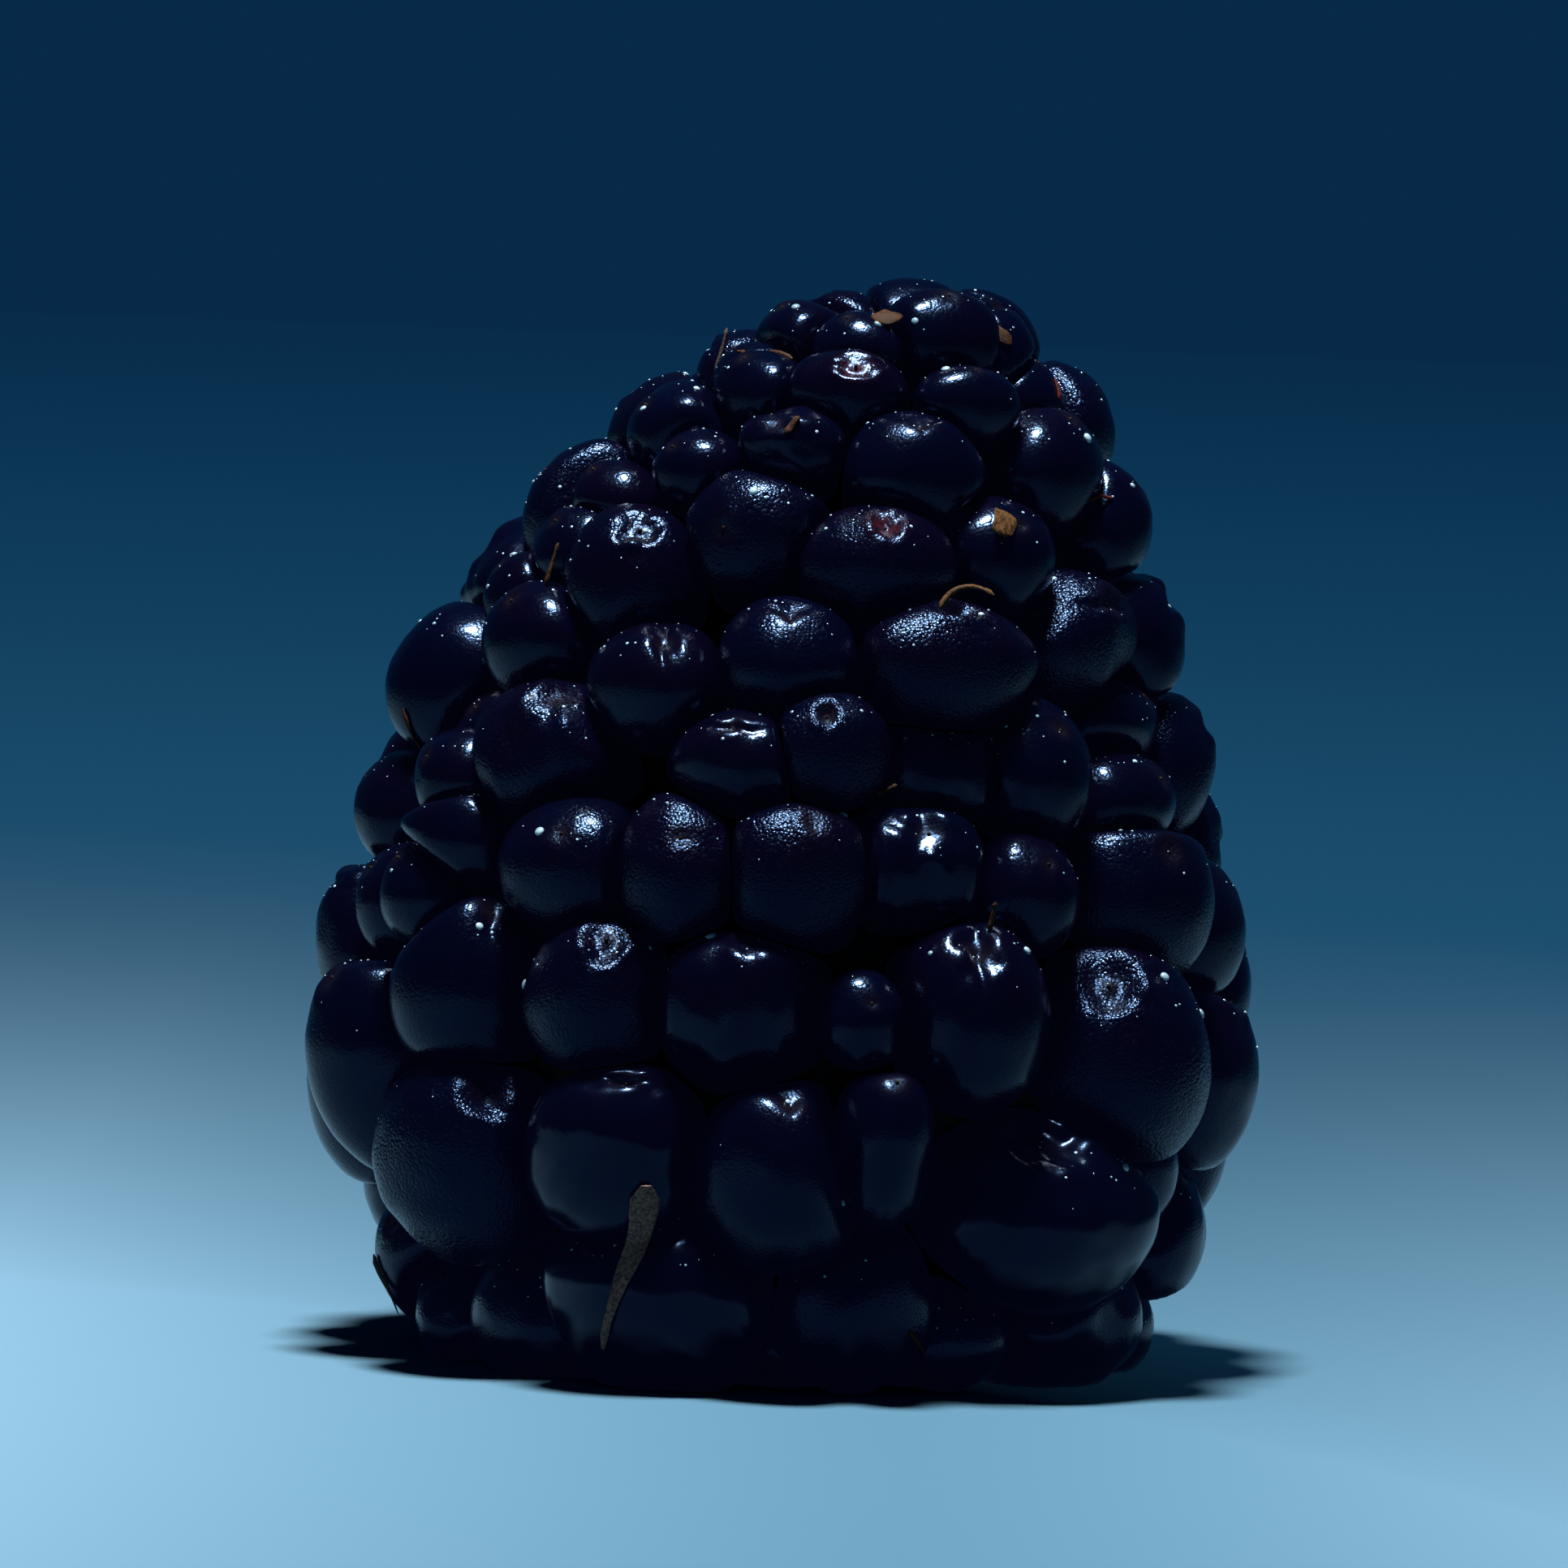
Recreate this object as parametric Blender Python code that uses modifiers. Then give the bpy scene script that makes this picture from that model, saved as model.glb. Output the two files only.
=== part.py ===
"""Bramble berry: one ripe fruit of the bramble, picked with its plug, standing upright on the picked end.

The fruit is an aggregate. Its small drupelets sit in uneven tiers round a plug and have grown together,
so they and the plug are one solid. The dried styles, the brown threads and flakes that the flower left on
the drupelets, are separate thin pieces. Lengths are in millimetres until an object is made, in metres.

Frame: origin in the middle of the flat underside that the berry rests on, +Z up through the berry,
-Y towards the viewer and +X to the viewer's right. An azimuth is 0 at -Y and grows towards +X.
"""

import math
import random
from dataclasses import dataclass, replace

import bmesh
import bpy
from mathutils import Matrix, Vector
from mathutils.bvhtree import BVHTree

MM = 0.001

# Driving dimensions of the berry
HEIGHT = 26.6            # resting face to the top of the outline, which the top drupelets cross
WIDTH = 24.0             # across the widest tier
WIDEST_RISE = 7.5        # height of the widest tier
FOOT_RATIO = 0.725       # outer radius at the resting face, as a share of the widest
FOOT_POWER = 1.1         # how evenly the outline narrows from the widest tier down to the resting face
SHOULDER_POWER = 1.4     # how full the outline is between the widest tier and the tip
TIP_LEAN = 3.3           # the tip stands this far towards +X of the base
LEAN_FROM = 14.0         # height where the middle line starts to lean
DRUPELET_INSET = 0.85    # a drupelet's middle lies this share of its half size inside the outline
DRUPELET_GROWTH = 1.14   # neighbours are this much larger than they look, so that they press together
DRUPELET_DEPTH = 0.86    # depth of a drupelet as a share of its mean half size
DRUPELET_LEAST_REACH = 0.3   # no drupelet's middle comes nearer to the middle line
SLOPE_STEP = 0.2         # the outline's slope is taken this far above and below a drupelet
SLOPE_TOP_GAP = 0.05     # but no nearer to the top of the outline, where the slope runs away

# The plug that the drupelets grow on, seen only as a pale scar in the underside
PLUG_SCAR_RADIUS = 3.4
PLUG_DEPTH = 1.9         # the plug's side lies this far inside the berry's outline
PLUG_TOP = 24.6
PLUG_CAP = 1.0           # height of the cone that closes the plug's top
PLUG_LEAST_RADIUS = 0.8
PLUG_SIDE_FROM = 2.0     # the plug's side starts at this height, above the scar
PLUG_SCAR_TOP = 1.2
PLUG_FOOT = -1.0         # below the resting face, to be levelled with the rest
PLUG_RINGS = 16
PLUG_TURN_STEPS = 40

# The ring of drupelets under the berry, between the plug and the lowest tier
UNDER_COUNT = 11
UNDER_RADIUS = 6.2
UNDER_RISE = 1.2
UNDER_SIZE = 3.5
UNDER_TILT = 0.4         # how far they face outwards, against 1 downwards

# The hidden side, filled by rule
REAR_SEED = 11
REAR_JITTER = 0.10       # share of the spacing
REAR_RISE_JITTER = 0.3
REAR_SIZES = (0.9, 1.12)         # least and greatest width, against the tier's rear size
REAR_PROPORTIONS = (0.92, 1.12)  # least and greatest height, against the width
REAR_LOWEST = 1.6
REAR_TOP_GAP = 1.5       # no middle comes nearer to the top of the outline
REAR_LEAST_RADIUS = 1.0  # the outline counts as at least this wide where drupelets are moved round it
RELAX_ROUNDS = 80
RELAX_STEP = 0.3

# The fused solid
WELD = 0.01              # points of the plug nearer than this are one
SPHERE_LEVEL = 3         # subdivisions of a drupelet before it is joined to the others
CELL = 0.28              # grain at which the drupelets are joined
FACES_KEPT = 8600
SOFTEN_SHARE = 0.5
SOFTEN_ROUNDS = 2
CUTTER_SIZE = 40.0

# Dried styles
STYLE_GAP = 0.25         # clear of the drupelets below
STYLE_POINTS = 6
TAPER = 0.45             # a style's tip is this share of its root's thickness


@dataclass(frozen=True)
class Drupelet:
    """One drupelet: where its middle is round and up the berry, and how large it looks."""

    azimuth: float       # degrees
    rise: float
    width: float
    height: float
    stand: float = 0.0   # how far it stands out of the outline, or into it where negative

    @property
    def half_size(self):
        return (self.width + self.height) / 4


@dataclass(frozen=True)
class Tier:
    """One uneven ring: the drupelets of its front, and how many more go round its back at what height."""

    rear_rise: float
    rear_count: int
    rear_size: float
    front: tuple
    rear_stand: float = 0.0


@dataclass(frozen=True)
class Style:
    """One dried thread or flake: its root on the berry, its direction, and its size."""

    azimuth: float
    rise: float
    heading: float       # degrees clockwise from up, seen from outside
    length: float
    thickness: float
    lift: float = 20.0   # degrees away from the skin
    curl: float = 0.0    # degrees that the heading turns through along the thread


def front(*rows):
    """The drupelets of a tier's front, from rows of azimuth, rise, width, height and stand."""
    return tuple(Drupelet(*row) for row in rows)


TIERS = (
    Tier(2.1, 7, 3.8, front(
        (-87, 2.4, 3.4, 3.0), (-73, 1.0, 2.5, 2.1), (-44, 1.5, 3.7, 3.1), (-18, 2.6, 4.6, 4.4, 1.1),
        (12, 2.3, 3.1, 3.4, 0.6), (30, 1.4, 2.6, 2.0), (59, 2.0, 4.3, 3.4), (88, 1.2, 2.8, 2.2))),
    Tier(5.2, 7, 4.0, front(
        (-106, 4.0, 3.4, 3.4), (-50, 5.4, 3.8, 4.4, 0.7), (-23, 5.9, 3.5, 3.7, 0.6),
        (0, 5.5, 3.4, 4.0, 0.7), (13, 6.2, 1.8, 3.4, 0.5), (41, 4.6, 5.1, 3.8, 0.9),
        (66, 5.3, 2.6, 2.8, -0.8), (85, 3.7, 4.1, 4.1, -0.1))),
    Tier(8.4, 8, 3.9, front(
        (-97, 6.4, 3.7, 5.0), (-73, 7.6, 3.3, 4.7), (-51, 9.6, 3.4, 4.2, -0.1),
        (-27, 9.5, 2.8, 3.4, -0.1), (-7, 9.4, 3.9, 3.5, -0.4), (10, 9.2, 1.6, 1.9, -0.5),
        (26, 9.4, 3.0, 4.0), (54, 8.2, 3.9, 4.5), (85, 7.5, 3.7, 4.4, -0.5))),
    Tier(11.8, 9, 3.5, front(
        (-74, 11.2, 2.3, 2.3, -0.4), (-60, 11.6, 2.1, 2.1), (-57, 13.0, 3.2, 2.4), (-33, 12.5, 3.3, 2.6),
        (-16, 12.6, 2.6, 3.1), (-1, 12.7, 3.5, 3.5), (19, 12.8, 3.3, 2.5, -0.7),
        (37, 12.2, 2.2, 2.4, -0.6), (66, 12.0, 3.9, 3.9, -0.3), (90, 11.0, 3.4, 3.2, -0.3))),
    Tier(14.9, 9, 3.2, front(
        (-90, 13.3, 2.6, 2.4), (-71, 15.0, 2.6, 2.6, -1.5), (-60, 14.4, 2.3, 1.9), (-45, 15.0, 3.8, 3.0),
        (-8, 15.2, 2.9, 2.0), (4, 15.6, 2.5, 2.4, 0.1), (23, 15.1, 3.2, 2.6, -0.9),
        (42, 15.1, 2.7, 2.9, -0.5), (69, 14.2, 3.4, 2.1, -0.8), (74, 15.9, 3.6, 2.2, -1.0))),
    Tier(17.6, 8, 3.1, front(
        (-89, 16.4, 3.2, 3.5, 0.4), (-57, 17.8, 2.8, 2.4), (-26, 16.95, 2.8, 2.4),
        (-4, 17.6, 2.8, 2.6, 0.1), (23, 17.5, 4.1, 2.6, 0.2), (66, 18.1, 4.5, 2.8, -0.7))),
    Tier(20.2, 7, 2.9, front(
        (-70, 18.8, 1.9, 1.9), (-62, 19.9, 2.3, 2.1), (-44, 19.4, 2.9, 3.0), (-20, 20.6, 3.1, 2.9, -0.3),
        (9, 19.9, 3.3, 2.4), (38, 20.3, 2.5, 2.3, -0.4), (87, 21.0, 2.9, 2.7))),
    Tier(22.5, 5, 2.8, front(
        (-65, 21.2, 2.1, 1.7), (-66, 22.7, 3.0, 2.3), (-44, 22.1, 1.9, 1.7), (-21, 22.7, 2.4, 1.5),
        (13, 22.2, 2.9, 2.6), (65, 22.3, 3.1, 2.5, -0.4))),
    Tier(24.0, 4, 2.5, front(
        (-64, 24.3, 1.8, 1.6), (-49, 23.9, 2.5, 1.7), (-16, 23.9, 2.7, 1.9), (25, 23.9, 2.2, 1.5),
        (75, 23.9, 2.2, 2.2, -1.0)), -0.4),
    Tier(25.0, 4, 2.3, front(
        (-68, 25.0, 2.6, 1.9), (-27, 25.1, 1.9, 1.6), (14, 25.3, 2.8, 2.0, -0.3)), -0.8),
)

CROWN = Drupelet(200, 25.5, 2.6, 2.2, -1.2)

STYLES = {
    "withered_filament": Style(-16, 5.2, 187, 4.4, 0.42, lift=4, curl=16),
    "dried_style_curled": Style(20, 18.9, 20, 1.5, 0.20, lift=22, curl=110),
    "dried_style_flake": Style(34, 20.8, -35, 0.8, 0.50, lift=12),
    "dried_style_side_hair": Style(-80, 14.6, -14, 2.0, 0.24, lift=34, curl=10),
    "dried_style_side_stub": Style(-69, 12.3, -14, 0.9, 0.26, lift=10),
    "dried_style_shoulder": Style(-53, 19.3, 8, 1.1, 0.20, lift=16),
    "dried_style_pale": Style(-74, 24.6, -6, 1.1, 0.22, lift=40),
    "dried_style_neck": Style(-48, 24.9, 258, 1.2, 0.20, lift=8),
    "dried_style_tip_left": Style(-21, 25.8, 20, 0.6, 0.32, lift=24),
    "dried_style_tip_right": Style(46, 25.5, -20, 1.2, 0.28, lift=18),
    "dried_style_tip_side": Style(71, 24.1, 40, 0.7, 0.24, lift=24),
    "dried_style_front_dot": Style(-20, 23.1, 30, 0.5, 0.28, lift=12),
    "dried_style_arc": Style(66, 21.8, 78, 1.1, 0.18, lift=10, curl=40),
    "dried_style_hollow": Style(13, 14.8, 66, 0.6, 0.18, lift=12),
    "dried_style_waist": Style(26, 11.4, 6, 0.7, 0.20, lift=26),
    "dried_style_foot": Style(18, 1.8, 140, 0.8, 0.20, lift=6),
    "dried_style_foot_strip": Style(-85, 2.3, 140, 1.8, 0.34, lift=4, curl=14),
    "dried_style_rear_1": Style(128, 20.6, 20, 1.3, 0.20, lift=24, curl=60),
    "dried_style_rear_2": Style(196, 16.4, -30, 1.6, 0.22, lift=20, curl=-50),
    "dried_style_rear_3": Style(226, 22.8, 15, 1.0, 0.22, lift=26),
    "dried_style_rear_4": Style(154, 9.8, 170, 1.8, 0.24, lift=8, curl=30),
    "dried_style_rear_5": Style(112, 13.0, 40, 1.1, 0.20, lift=18),
    "dried_style_rear_6": Style(236, 6.8, 110, 1.5, 0.22, lift=14, curl=-40),
}


def outline_radius(rise):
    """Outer radius of the berry, over the drupelets' crowns, at a height."""
    if rise < WIDEST_RISE:
        below = (WIDEST_RISE - rise) / WIDEST_RISE
        return WIDTH / 2 * (1 - (1 - FOOT_RATIO) * below**FOOT_POWER)
    above = min((rise - WIDEST_RISE) / (HEIGHT - WIDEST_RISE), 1.0)
    return WIDTH / 2 * math.sqrt(1 - above**SHOULDER_POWER)


def middle_line(rise):
    """Point of the berry's middle line at a height: upright, then leaning towards +X."""
    bend = max(0.0, (rise - LEAN_FROM) / (HEIGHT - LEAN_FROM))
    return Vector((TIP_LEAN * bend**2, 0, rise))


def outward(azimuth):
    angle = math.radians(azimuth)
    return Vector((math.sin(angle), -math.cos(angle), 0))


def crown_normal(azimuth, rise):
    """Direction that the outline faces at an azimuth and a height."""
    low = max(rise - SLOPE_STEP, 0.0)
    high = min(rise + SLOPE_STEP, HEIGHT - SLOPE_TOP_GAP)
    slope = (outline_radius(high) - outline_radius(low)) / (high - low)
    return (outward(azimuth) - Vector((0, 0, slope))).normalized()


def middle_of(drupelet):
    """Middle of a drupelet, just inside the outline or as far from it as the drupelet's stand says."""
    inset = DRUPELET_INSET * drupelet.half_size - drupelet.stand
    reach = max(outline_radius(drupelet.rise) - inset, DRUPELET_LEAST_REACH)
    return middle_line(drupelet.rise) + reach * outward(drupelet.azimuth)


def rear_of(tier, rng):
    """The drupelets that close a tier round the back, evenly spaced with a little jitter."""
    first, last = tier.front[0].azimuth, tier.front[-1].azimuth
    pitch = (360 + first - last) / (tier.rear_count + 1)
    drupelets = []
    for place in range(1, tier.rear_count + 1):
        azimuth = last + pitch * (place + rng.uniform(-REAR_JITTER, REAR_JITTER))
        rise = tier.rear_rise + rng.uniform(-REAR_RISE_JITTER, REAR_RISE_JITTER)
        size = tier.rear_size * rng.uniform(*REAR_SIZES)
        height = size * rng.uniform(*REAR_PROPORTIONS)
        drupelets.append(Drupelet(azimuth, rise, size, height, tier.rear_stand))
    return drupelets


def relaxed(fixed, free):
    """The free drupelets, moved over the outline until they sit evenly among all the others."""
    for _ in range(RELAX_ROUNDS):
        settled = []
        for index, drupelet in enumerate(free):
            here = middle_of(drupelet)
            push = Vector()
            for other in fixed + free[:index] + free[index + 1:]:
                apart = here - middle_of(other)
                wanted = drupelet.half_size + other.half_size
                if 0 < apart.length < wanted:
                    push += apart.normalized() * (wanted - apart.length)
            sideways = push.dot(outward(drupelet.azimuth + 90))
            radius = max(outline_radius(drupelet.rise), REAR_LEAST_RADIUS)
            rise = max(drupelet.rise + RELAX_STEP * push.z, REAR_LOWEST)
            settled.append(replace(
                drupelet,
                azimuth=drupelet.azimuth + math.degrees(RELAX_STEP * sideways / radius),
                rise=min(rise, HEIGHT - REAR_TOP_GAP)))
        free = settled
    return free


def all_drupelets():
    """Every drupelet that the outline carries: the crown, the tiers' fronts, and their backs."""
    rng = random.Random(REAR_SEED)
    fixed = [CROWN, *(drupelet for tier in TIERS for drupelet in tier.front)]
    free = [drupelet for tier in TIERS for drupelet in rear_of(tier, rng)]
    return fixed + relaxed(fixed, free)


def add_ellipsoid(shell, centre, normal, half_sizes):
    """Add an ellipsoid whose half sizes run across, up and out along the normal."""
    across = Vector((0, 0, 1)).cross(normal).normalized()
    up = normal.cross(across)
    turn = Matrix((across, up, normal)).transposed().to_4x4()
    stretch = Matrix.Diagonal((*(half * MM for half in half_sizes), 1))
    place = Matrix.Translation(centre * MM) @ turn @ stretch
    bmesh.ops.create_icosphere(shell, subdivisions=SPHERE_LEVEL, radius=1.0, matrix=place)


def add_drupelets(shell):
    for drupelet in all_drupelets():
        depth = DRUPELET_DEPTH * drupelet.half_size
        half_sizes = [DRUPELET_GROWTH * half for half in (drupelet.width / 2, drupelet.height / 2, depth)]
        normal = crown_normal(drupelet.azimuth, drupelet.rise)
        add_ellipsoid(shell, middle_of(drupelet), normal, half_sizes)
    for place in range(UNDER_COUNT):
        azimuth = 360 * place / UNDER_COUNT
        centre = UNDER_RADIUS * outward(azimuth) + Vector((0, 0, UNDER_RISE))
        normal = (UNDER_TILT * outward(azimuth) - Vector((0, 0, 1))).normalized()
        add_ellipsoid(shell, centre, normal, (UNDER_SIZE / 2,) * 3)


def plug_profile():
    """Half outline of the plug, from its top down its outer side to the scar that meets the resting face."""
    points = [Vector((0, 0, PLUG_TOP))]
    side_top = PLUG_TOP - PLUG_CAP
    for ring in range(PLUG_RINGS + 1):
        rise = side_top - (side_top - PLUG_SIDE_FROM) * ring / PLUG_RINGS
        points.append(Vector((max(outline_radius(rise) - PLUG_DEPTH, PLUG_LEAST_RADIUS), 0, rise)))
    points += [Vector((PLUG_SCAR_RADIUS, 0, PLUG_SCAR_TOP)), Vector((PLUG_SCAR_RADIUS, 0, PLUG_FOOT)),
               Vector((0, 0, PLUG_FOOT))]
    return points


def plug_mesh(scene):
    """The turned plug as a mesh, leaning as the berry does."""
    profile = bpy.data.meshes.new("plug_profile")
    points = plug_profile()
    profile.from_pydata([point * MM for point in points], [(i, i + 1) for i in range(len(points) - 1)], [])
    guide = bpy.data.objects.new("plug_profile", profile)
    scene.collection.objects.link(guide)
    screw = guide.modifiers.new("turn", "SCREW")
    screw.steps = screw.render_steps = PLUG_TURN_STEPS
    screw.use_merge_vertices = True
    screw.merge_threshold = WELD * MM
    mesh = bpy.data.meshes.new_from_object(guide.evaluated_get(bpy.context.evaluated_depsgraph_get()))
    bpy.data.objects.remove(guide)
    for vertex in mesh.vertices:
        vertex.co.x += middle_line(vertex.co.z / MM).x * MM
    return mesh


def material(name, colour, roughness):
    """A Principled BSDF material of one colour."""
    made = bpy.data.materials.new(name)
    made.use_nodes = True
    shader = made.node_tree.nodes["Principled BSDF"]
    shader.inputs["Base Color"].default_value = (*colour, 1)
    shader.inputs["Roughness"].default_value = roughness
    shader.inputs["Metallic"].default_value = 0
    return made


def make_rest_cutter(cutters):
    """The block that levels whatever reaches below the resting face."""
    mesh = bpy.data.meshes.new("rest_cutter")
    block = bmesh.new()
    size = CUTTER_SIZE * MM
    bmesh.ops.create_cube(block, size=size, matrix=Matrix.Translation((0, 0, -size / 2)))
    block.to_mesh(mesh)
    block.free()
    cutter = bpy.data.objects.new("rest_cutter", mesh)
    cutter.hide_render = True
    cutter.display_type = "WIRE"
    cutters.objects.link(cutter)
    return cutter


def make_berry(parts, cutters, scene):
    """The fused fruit: drupelets and plug joined at a fine grain, thinned, and levelled underneath."""
    shell = bmesh.new()
    shell.from_mesh(plug_mesh(scene))
    add_drupelets(shell)
    mesh = bpy.data.meshes.new("berry")
    shell.to_mesh(mesh)
    shell.free()
    mesh.materials.append(material("ripe_skin", (0.006, 0.006, 0.018), 0.22))
    berry = bpy.data.objects.new("berry", mesh)
    parts.objects.link(berry)
    join = berry.modifiers.new("grow_together", "REMESH")
    join.mode = "VOXEL"
    join.voxel_size = CELL * MM
    join.use_smooth_shade = True
    soften = berry.modifiers.new("soften", "SMOOTH")
    soften.factor = SOFTEN_SHARE
    soften.iterations = SOFTEN_ROUNDS
    joined = berry.evaluated_get(bpy.context.evaluated_depsgraph_get()).data
    thin = berry.modifiers.new("thin", "DECIMATE")
    thin.ratio = FACES_KEPT / (2 * len(joined.polygons))
    level = berry.modifiers.new("level", "BOOLEAN")
    level.operation = "DIFFERENCE"
    level.solver = "EXACT"
    level.object = make_rest_cutter(cutters)
    return berry


def thread_points(style, skin):
    """Points along a style, from its root outwards, kept clear of the skin."""
    clear = (STYLE_GAP + style.thickness / 2) * MM
    outside = middle_line(style.rise) + WIDTH * outward(style.azimuth)
    root, normal, _, _ = skin.ray_cast(outside * MM, -outward(style.azimuth))
    point = root + clear * normal
    points = [point]
    for step in range(1, STYLE_POINTS):
        along = step / (STYLE_POINTS - 1)
        normal = crown_normal(style.azimuth, style.rise)
        across = Vector((0, 0, 1)).cross(normal).normalized()
        up = normal.cross(across)
        heading = math.radians(style.heading + style.curl * along)
        lift = math.radians(style.lift)
        flat = math.cos(heading) * up + math.sin(heading) * across
        direction = math.cos(lift) * flat + math.sin(lift) * normal
        point = point + direction * (style.length / (STYLE_POINTS - 1)) * MM
        near, facing, _, _ = skin.find_nearest(point)
        height = (point - near).dot(facing)
        if height < clear:
            point = point + facing * (clear - height)
        points.append(point)
    return points


def make_style(name, style, skin, parts, finish):
    """A dried style: a thin tapering thread with closed ends."""
    curve = bpy.data.curves.new(name, "CURVE")
    curve.dimensions = "3D"
    curve.bevel_depth = style.thickness / 2 * MM
    curve.bevel_resolution = 1
    curve.use_fill_caps = True
    curve.materials.append(finish)
    thread = curve.splines.new("POLY")
    points = thread_points(style, skin)
    thread.points.add(len(points) - 1)
    for index, point in enumerate(points):
        thread.points[index].co = (*point, 1)
        thread.points[index].radius = 1 - (1 - TAPER) * index / (len(points) - 1)
    parts.objects.link(bpy.data.objects.new(name, curve))


def main():
    for old in list(bpy.data.objects):
        bpy.data.objects.remove(old)
    scene = bpy.context.scene
    parts = bpy.data.collections.new("bramble_berry")
    cutters = bpy.data.collections.new("cutters")
    scene.collection.children.link(parts)
    scene.collection.children.link(cutters)
    berry = make_berry(parts, cutters, scene)
    skin = BVHTree.FromObject(berry, bpy.context.evaluated_depsgraph_get())
    finish = material("dried_style", (0.30, 0.17, 0.07), 0.75)
    for name, style in STYLES.items():
        make_style(name, style, skin, parts, finish)


main()
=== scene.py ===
"""Bramble berry: the looks of one ripe fruit standing on its picked end.

The berry is an aggregate of glossy drupelets that have grown against each other. Each one is shaped as its
own swollen body, flattened where it meets its neighbours, with the scar of its style where the sun reached
it. Dried styles stay on the skin, and fine dew stands on the sides that face up.

Lengths are in millimetres in the shaping code and in metres on every Blender object. The origin is in the
middle of the resting face, +Z is up, -Y is the front, and an azimuth is 0 at -Y and grows towards +X.
"""

import logging
import math
import random
from collections.abc import Iterable, Sequence
from dataclasses import dataclass, field, replace
from enum import Enum
from typing import Any

import bpy
import numpy as np
from mathutils import Matrix, Vector
from mathutils.bvhtree import BVHTree


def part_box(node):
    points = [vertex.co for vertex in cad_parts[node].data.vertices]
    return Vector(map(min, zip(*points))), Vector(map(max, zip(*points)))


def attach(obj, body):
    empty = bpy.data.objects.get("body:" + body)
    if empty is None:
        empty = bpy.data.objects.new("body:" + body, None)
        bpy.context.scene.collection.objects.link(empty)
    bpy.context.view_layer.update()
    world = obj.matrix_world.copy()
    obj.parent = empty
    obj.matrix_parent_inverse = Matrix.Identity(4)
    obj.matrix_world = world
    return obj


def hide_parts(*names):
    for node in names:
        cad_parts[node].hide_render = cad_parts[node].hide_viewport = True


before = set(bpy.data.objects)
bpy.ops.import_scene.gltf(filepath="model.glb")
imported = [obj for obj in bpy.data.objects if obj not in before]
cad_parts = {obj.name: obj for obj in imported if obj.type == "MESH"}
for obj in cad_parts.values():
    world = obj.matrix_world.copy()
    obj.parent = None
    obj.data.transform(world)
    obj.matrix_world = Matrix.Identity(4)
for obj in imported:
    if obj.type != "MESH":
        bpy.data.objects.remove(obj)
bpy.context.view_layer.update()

MM = 0.001
BODY = "root"

log = logging.getLogger("bramble_berry")


class Form(Enum):
    """How a drupelet's outer side is shaped round the scar of its style."""

    PLUMP = "plump"          # a full round side with a pinprick scar
    PIT = "pit"              # a small deep pit with a raised rim
    RING = "ring"            # a wide shallow crater
    BOWL = "bowl"            # a hollowed side
    CLEFT = "cleft"          # two lobes with a furrow that runs up
    NOTCH = "notch"          # a wedge-shaped hollow that opens upwards
    CREASE = "crease"        # a fold that runs across
    SHRUNK = "shrunk"        # a slack, wrinkled side


class Slot(Enum):
    """The record's material slots."""

    SKIN = "ripe_skin"
    STYLE = "dried_style"


@dataclass(frozen=True)
class Drupelet:
    """One drupelet: where its middle is round and up the berry, its size and its form."""

    azimuth: float
    rise: float
    width: float
    height: float
    form: Form = Form.PLUMP
    stand: float = 0.0                 # how far it stands out of the outline
    scar_azimuth: float | None = None  # the way the scar faces, where it isn't the drupelet's own
    scar_rise: float | None = None     # degrees above level that the scar faces
    grain: float = 0.35                # how strongly the skin's cells stand out
    stain: float = 0.0                 # how red the skin is round the scar

    @property
    def half_size(self) -> float:
        """Mean of the half width and the half height."""
        return (self.width + self.height) / 4


@dataclass(frozen=True)
class Tier:
    """One uneven ring: the drupelets of its front, and how many more close it round the back."""

    rear_rise: float
    rear_count: int
    rear_size: float
    front: tuple[Drupelet, ...]
    rear_stand: float = 0.0      # how far the ones round the back stand out of the outline


@dataclass(frozen=True)
class Outline:
    """The berry as a whole: its outer radius at each height, and its middle line."""

    height: float = 26.6
    width: float = 24.0
    widest_rise: float = 7.5
    foot_ratio: float = 0.725
    foot_power: float = 1.1
    shoulder_power: float = 1.4
    tip_lean: float = 3.3
    lean_from: float = 14.0
    slope_step: float = 0.2      # half of the height over which the slope is taken
    tip_gap: float = 0.05        # how near the tip it is taken

    def radius(self, rise: float) -> float:
        """Outer radius, over the drupelets' crowns, at a height.

        Args:
            rise: the height.

        Returns:
            The radius.
        """
        if rise < self.widest_rise:
            below = (self.widest_rise - rise) / self.widest_rise
            return self.width / 2 * (1 - (1 - self.foot_ratio) * max(below, 0.0)**self.foot_power)
        above = min((rise - self.widest_rise) / (self.height - self.widest_rise), 1.0)
        return self.width / 2 * math.sqrt(1 - above**self.shoulder_power)

    def middle(self, rise: float) -> Vector:
        """Point of the middle line at a height: upright, then leaning towards +X."""
        bend = max(0.0, (rise - self.lean_from) / (self.height - self.lean_from))
        return Vector((self.tip_lean * bend**2, 0, rise))

    def normal(self, azimuth: float, rise: float) -> Vector:
        """Direction that the outline faces at an azimuth and a height.

        Args:
            azimuth: in degrees.
            rise: the height.

        Returns:
            A unit vector.
        """
        low, high = max(rise - self.slope_step, 0.0), min(rise + self.slope_step, self.height - self.tip_gap)
        slope = (self.radius(high) - self.radius(low)) / (high - low)
        return (outward(azimuth) - Vector((0, 0, slope))).normalized()


def outward(azimuth: float) -> Vector:
    """Level unit vector that points away from the middle line at an azimuth."""
    angle = math.radians(azimuth)
    return Vector((math.sin(angle), -math.cos(angle), 0))


def facing(azimuth: float, rise: float) -> Vector:
    """Unit vector at an azimuth, turned up by a number of degrees."""
    angle = math.radians(rise)
    return math.cos(angle) * outward(azimuth) + Vector((0, 0, math.sin(angle)))


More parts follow.
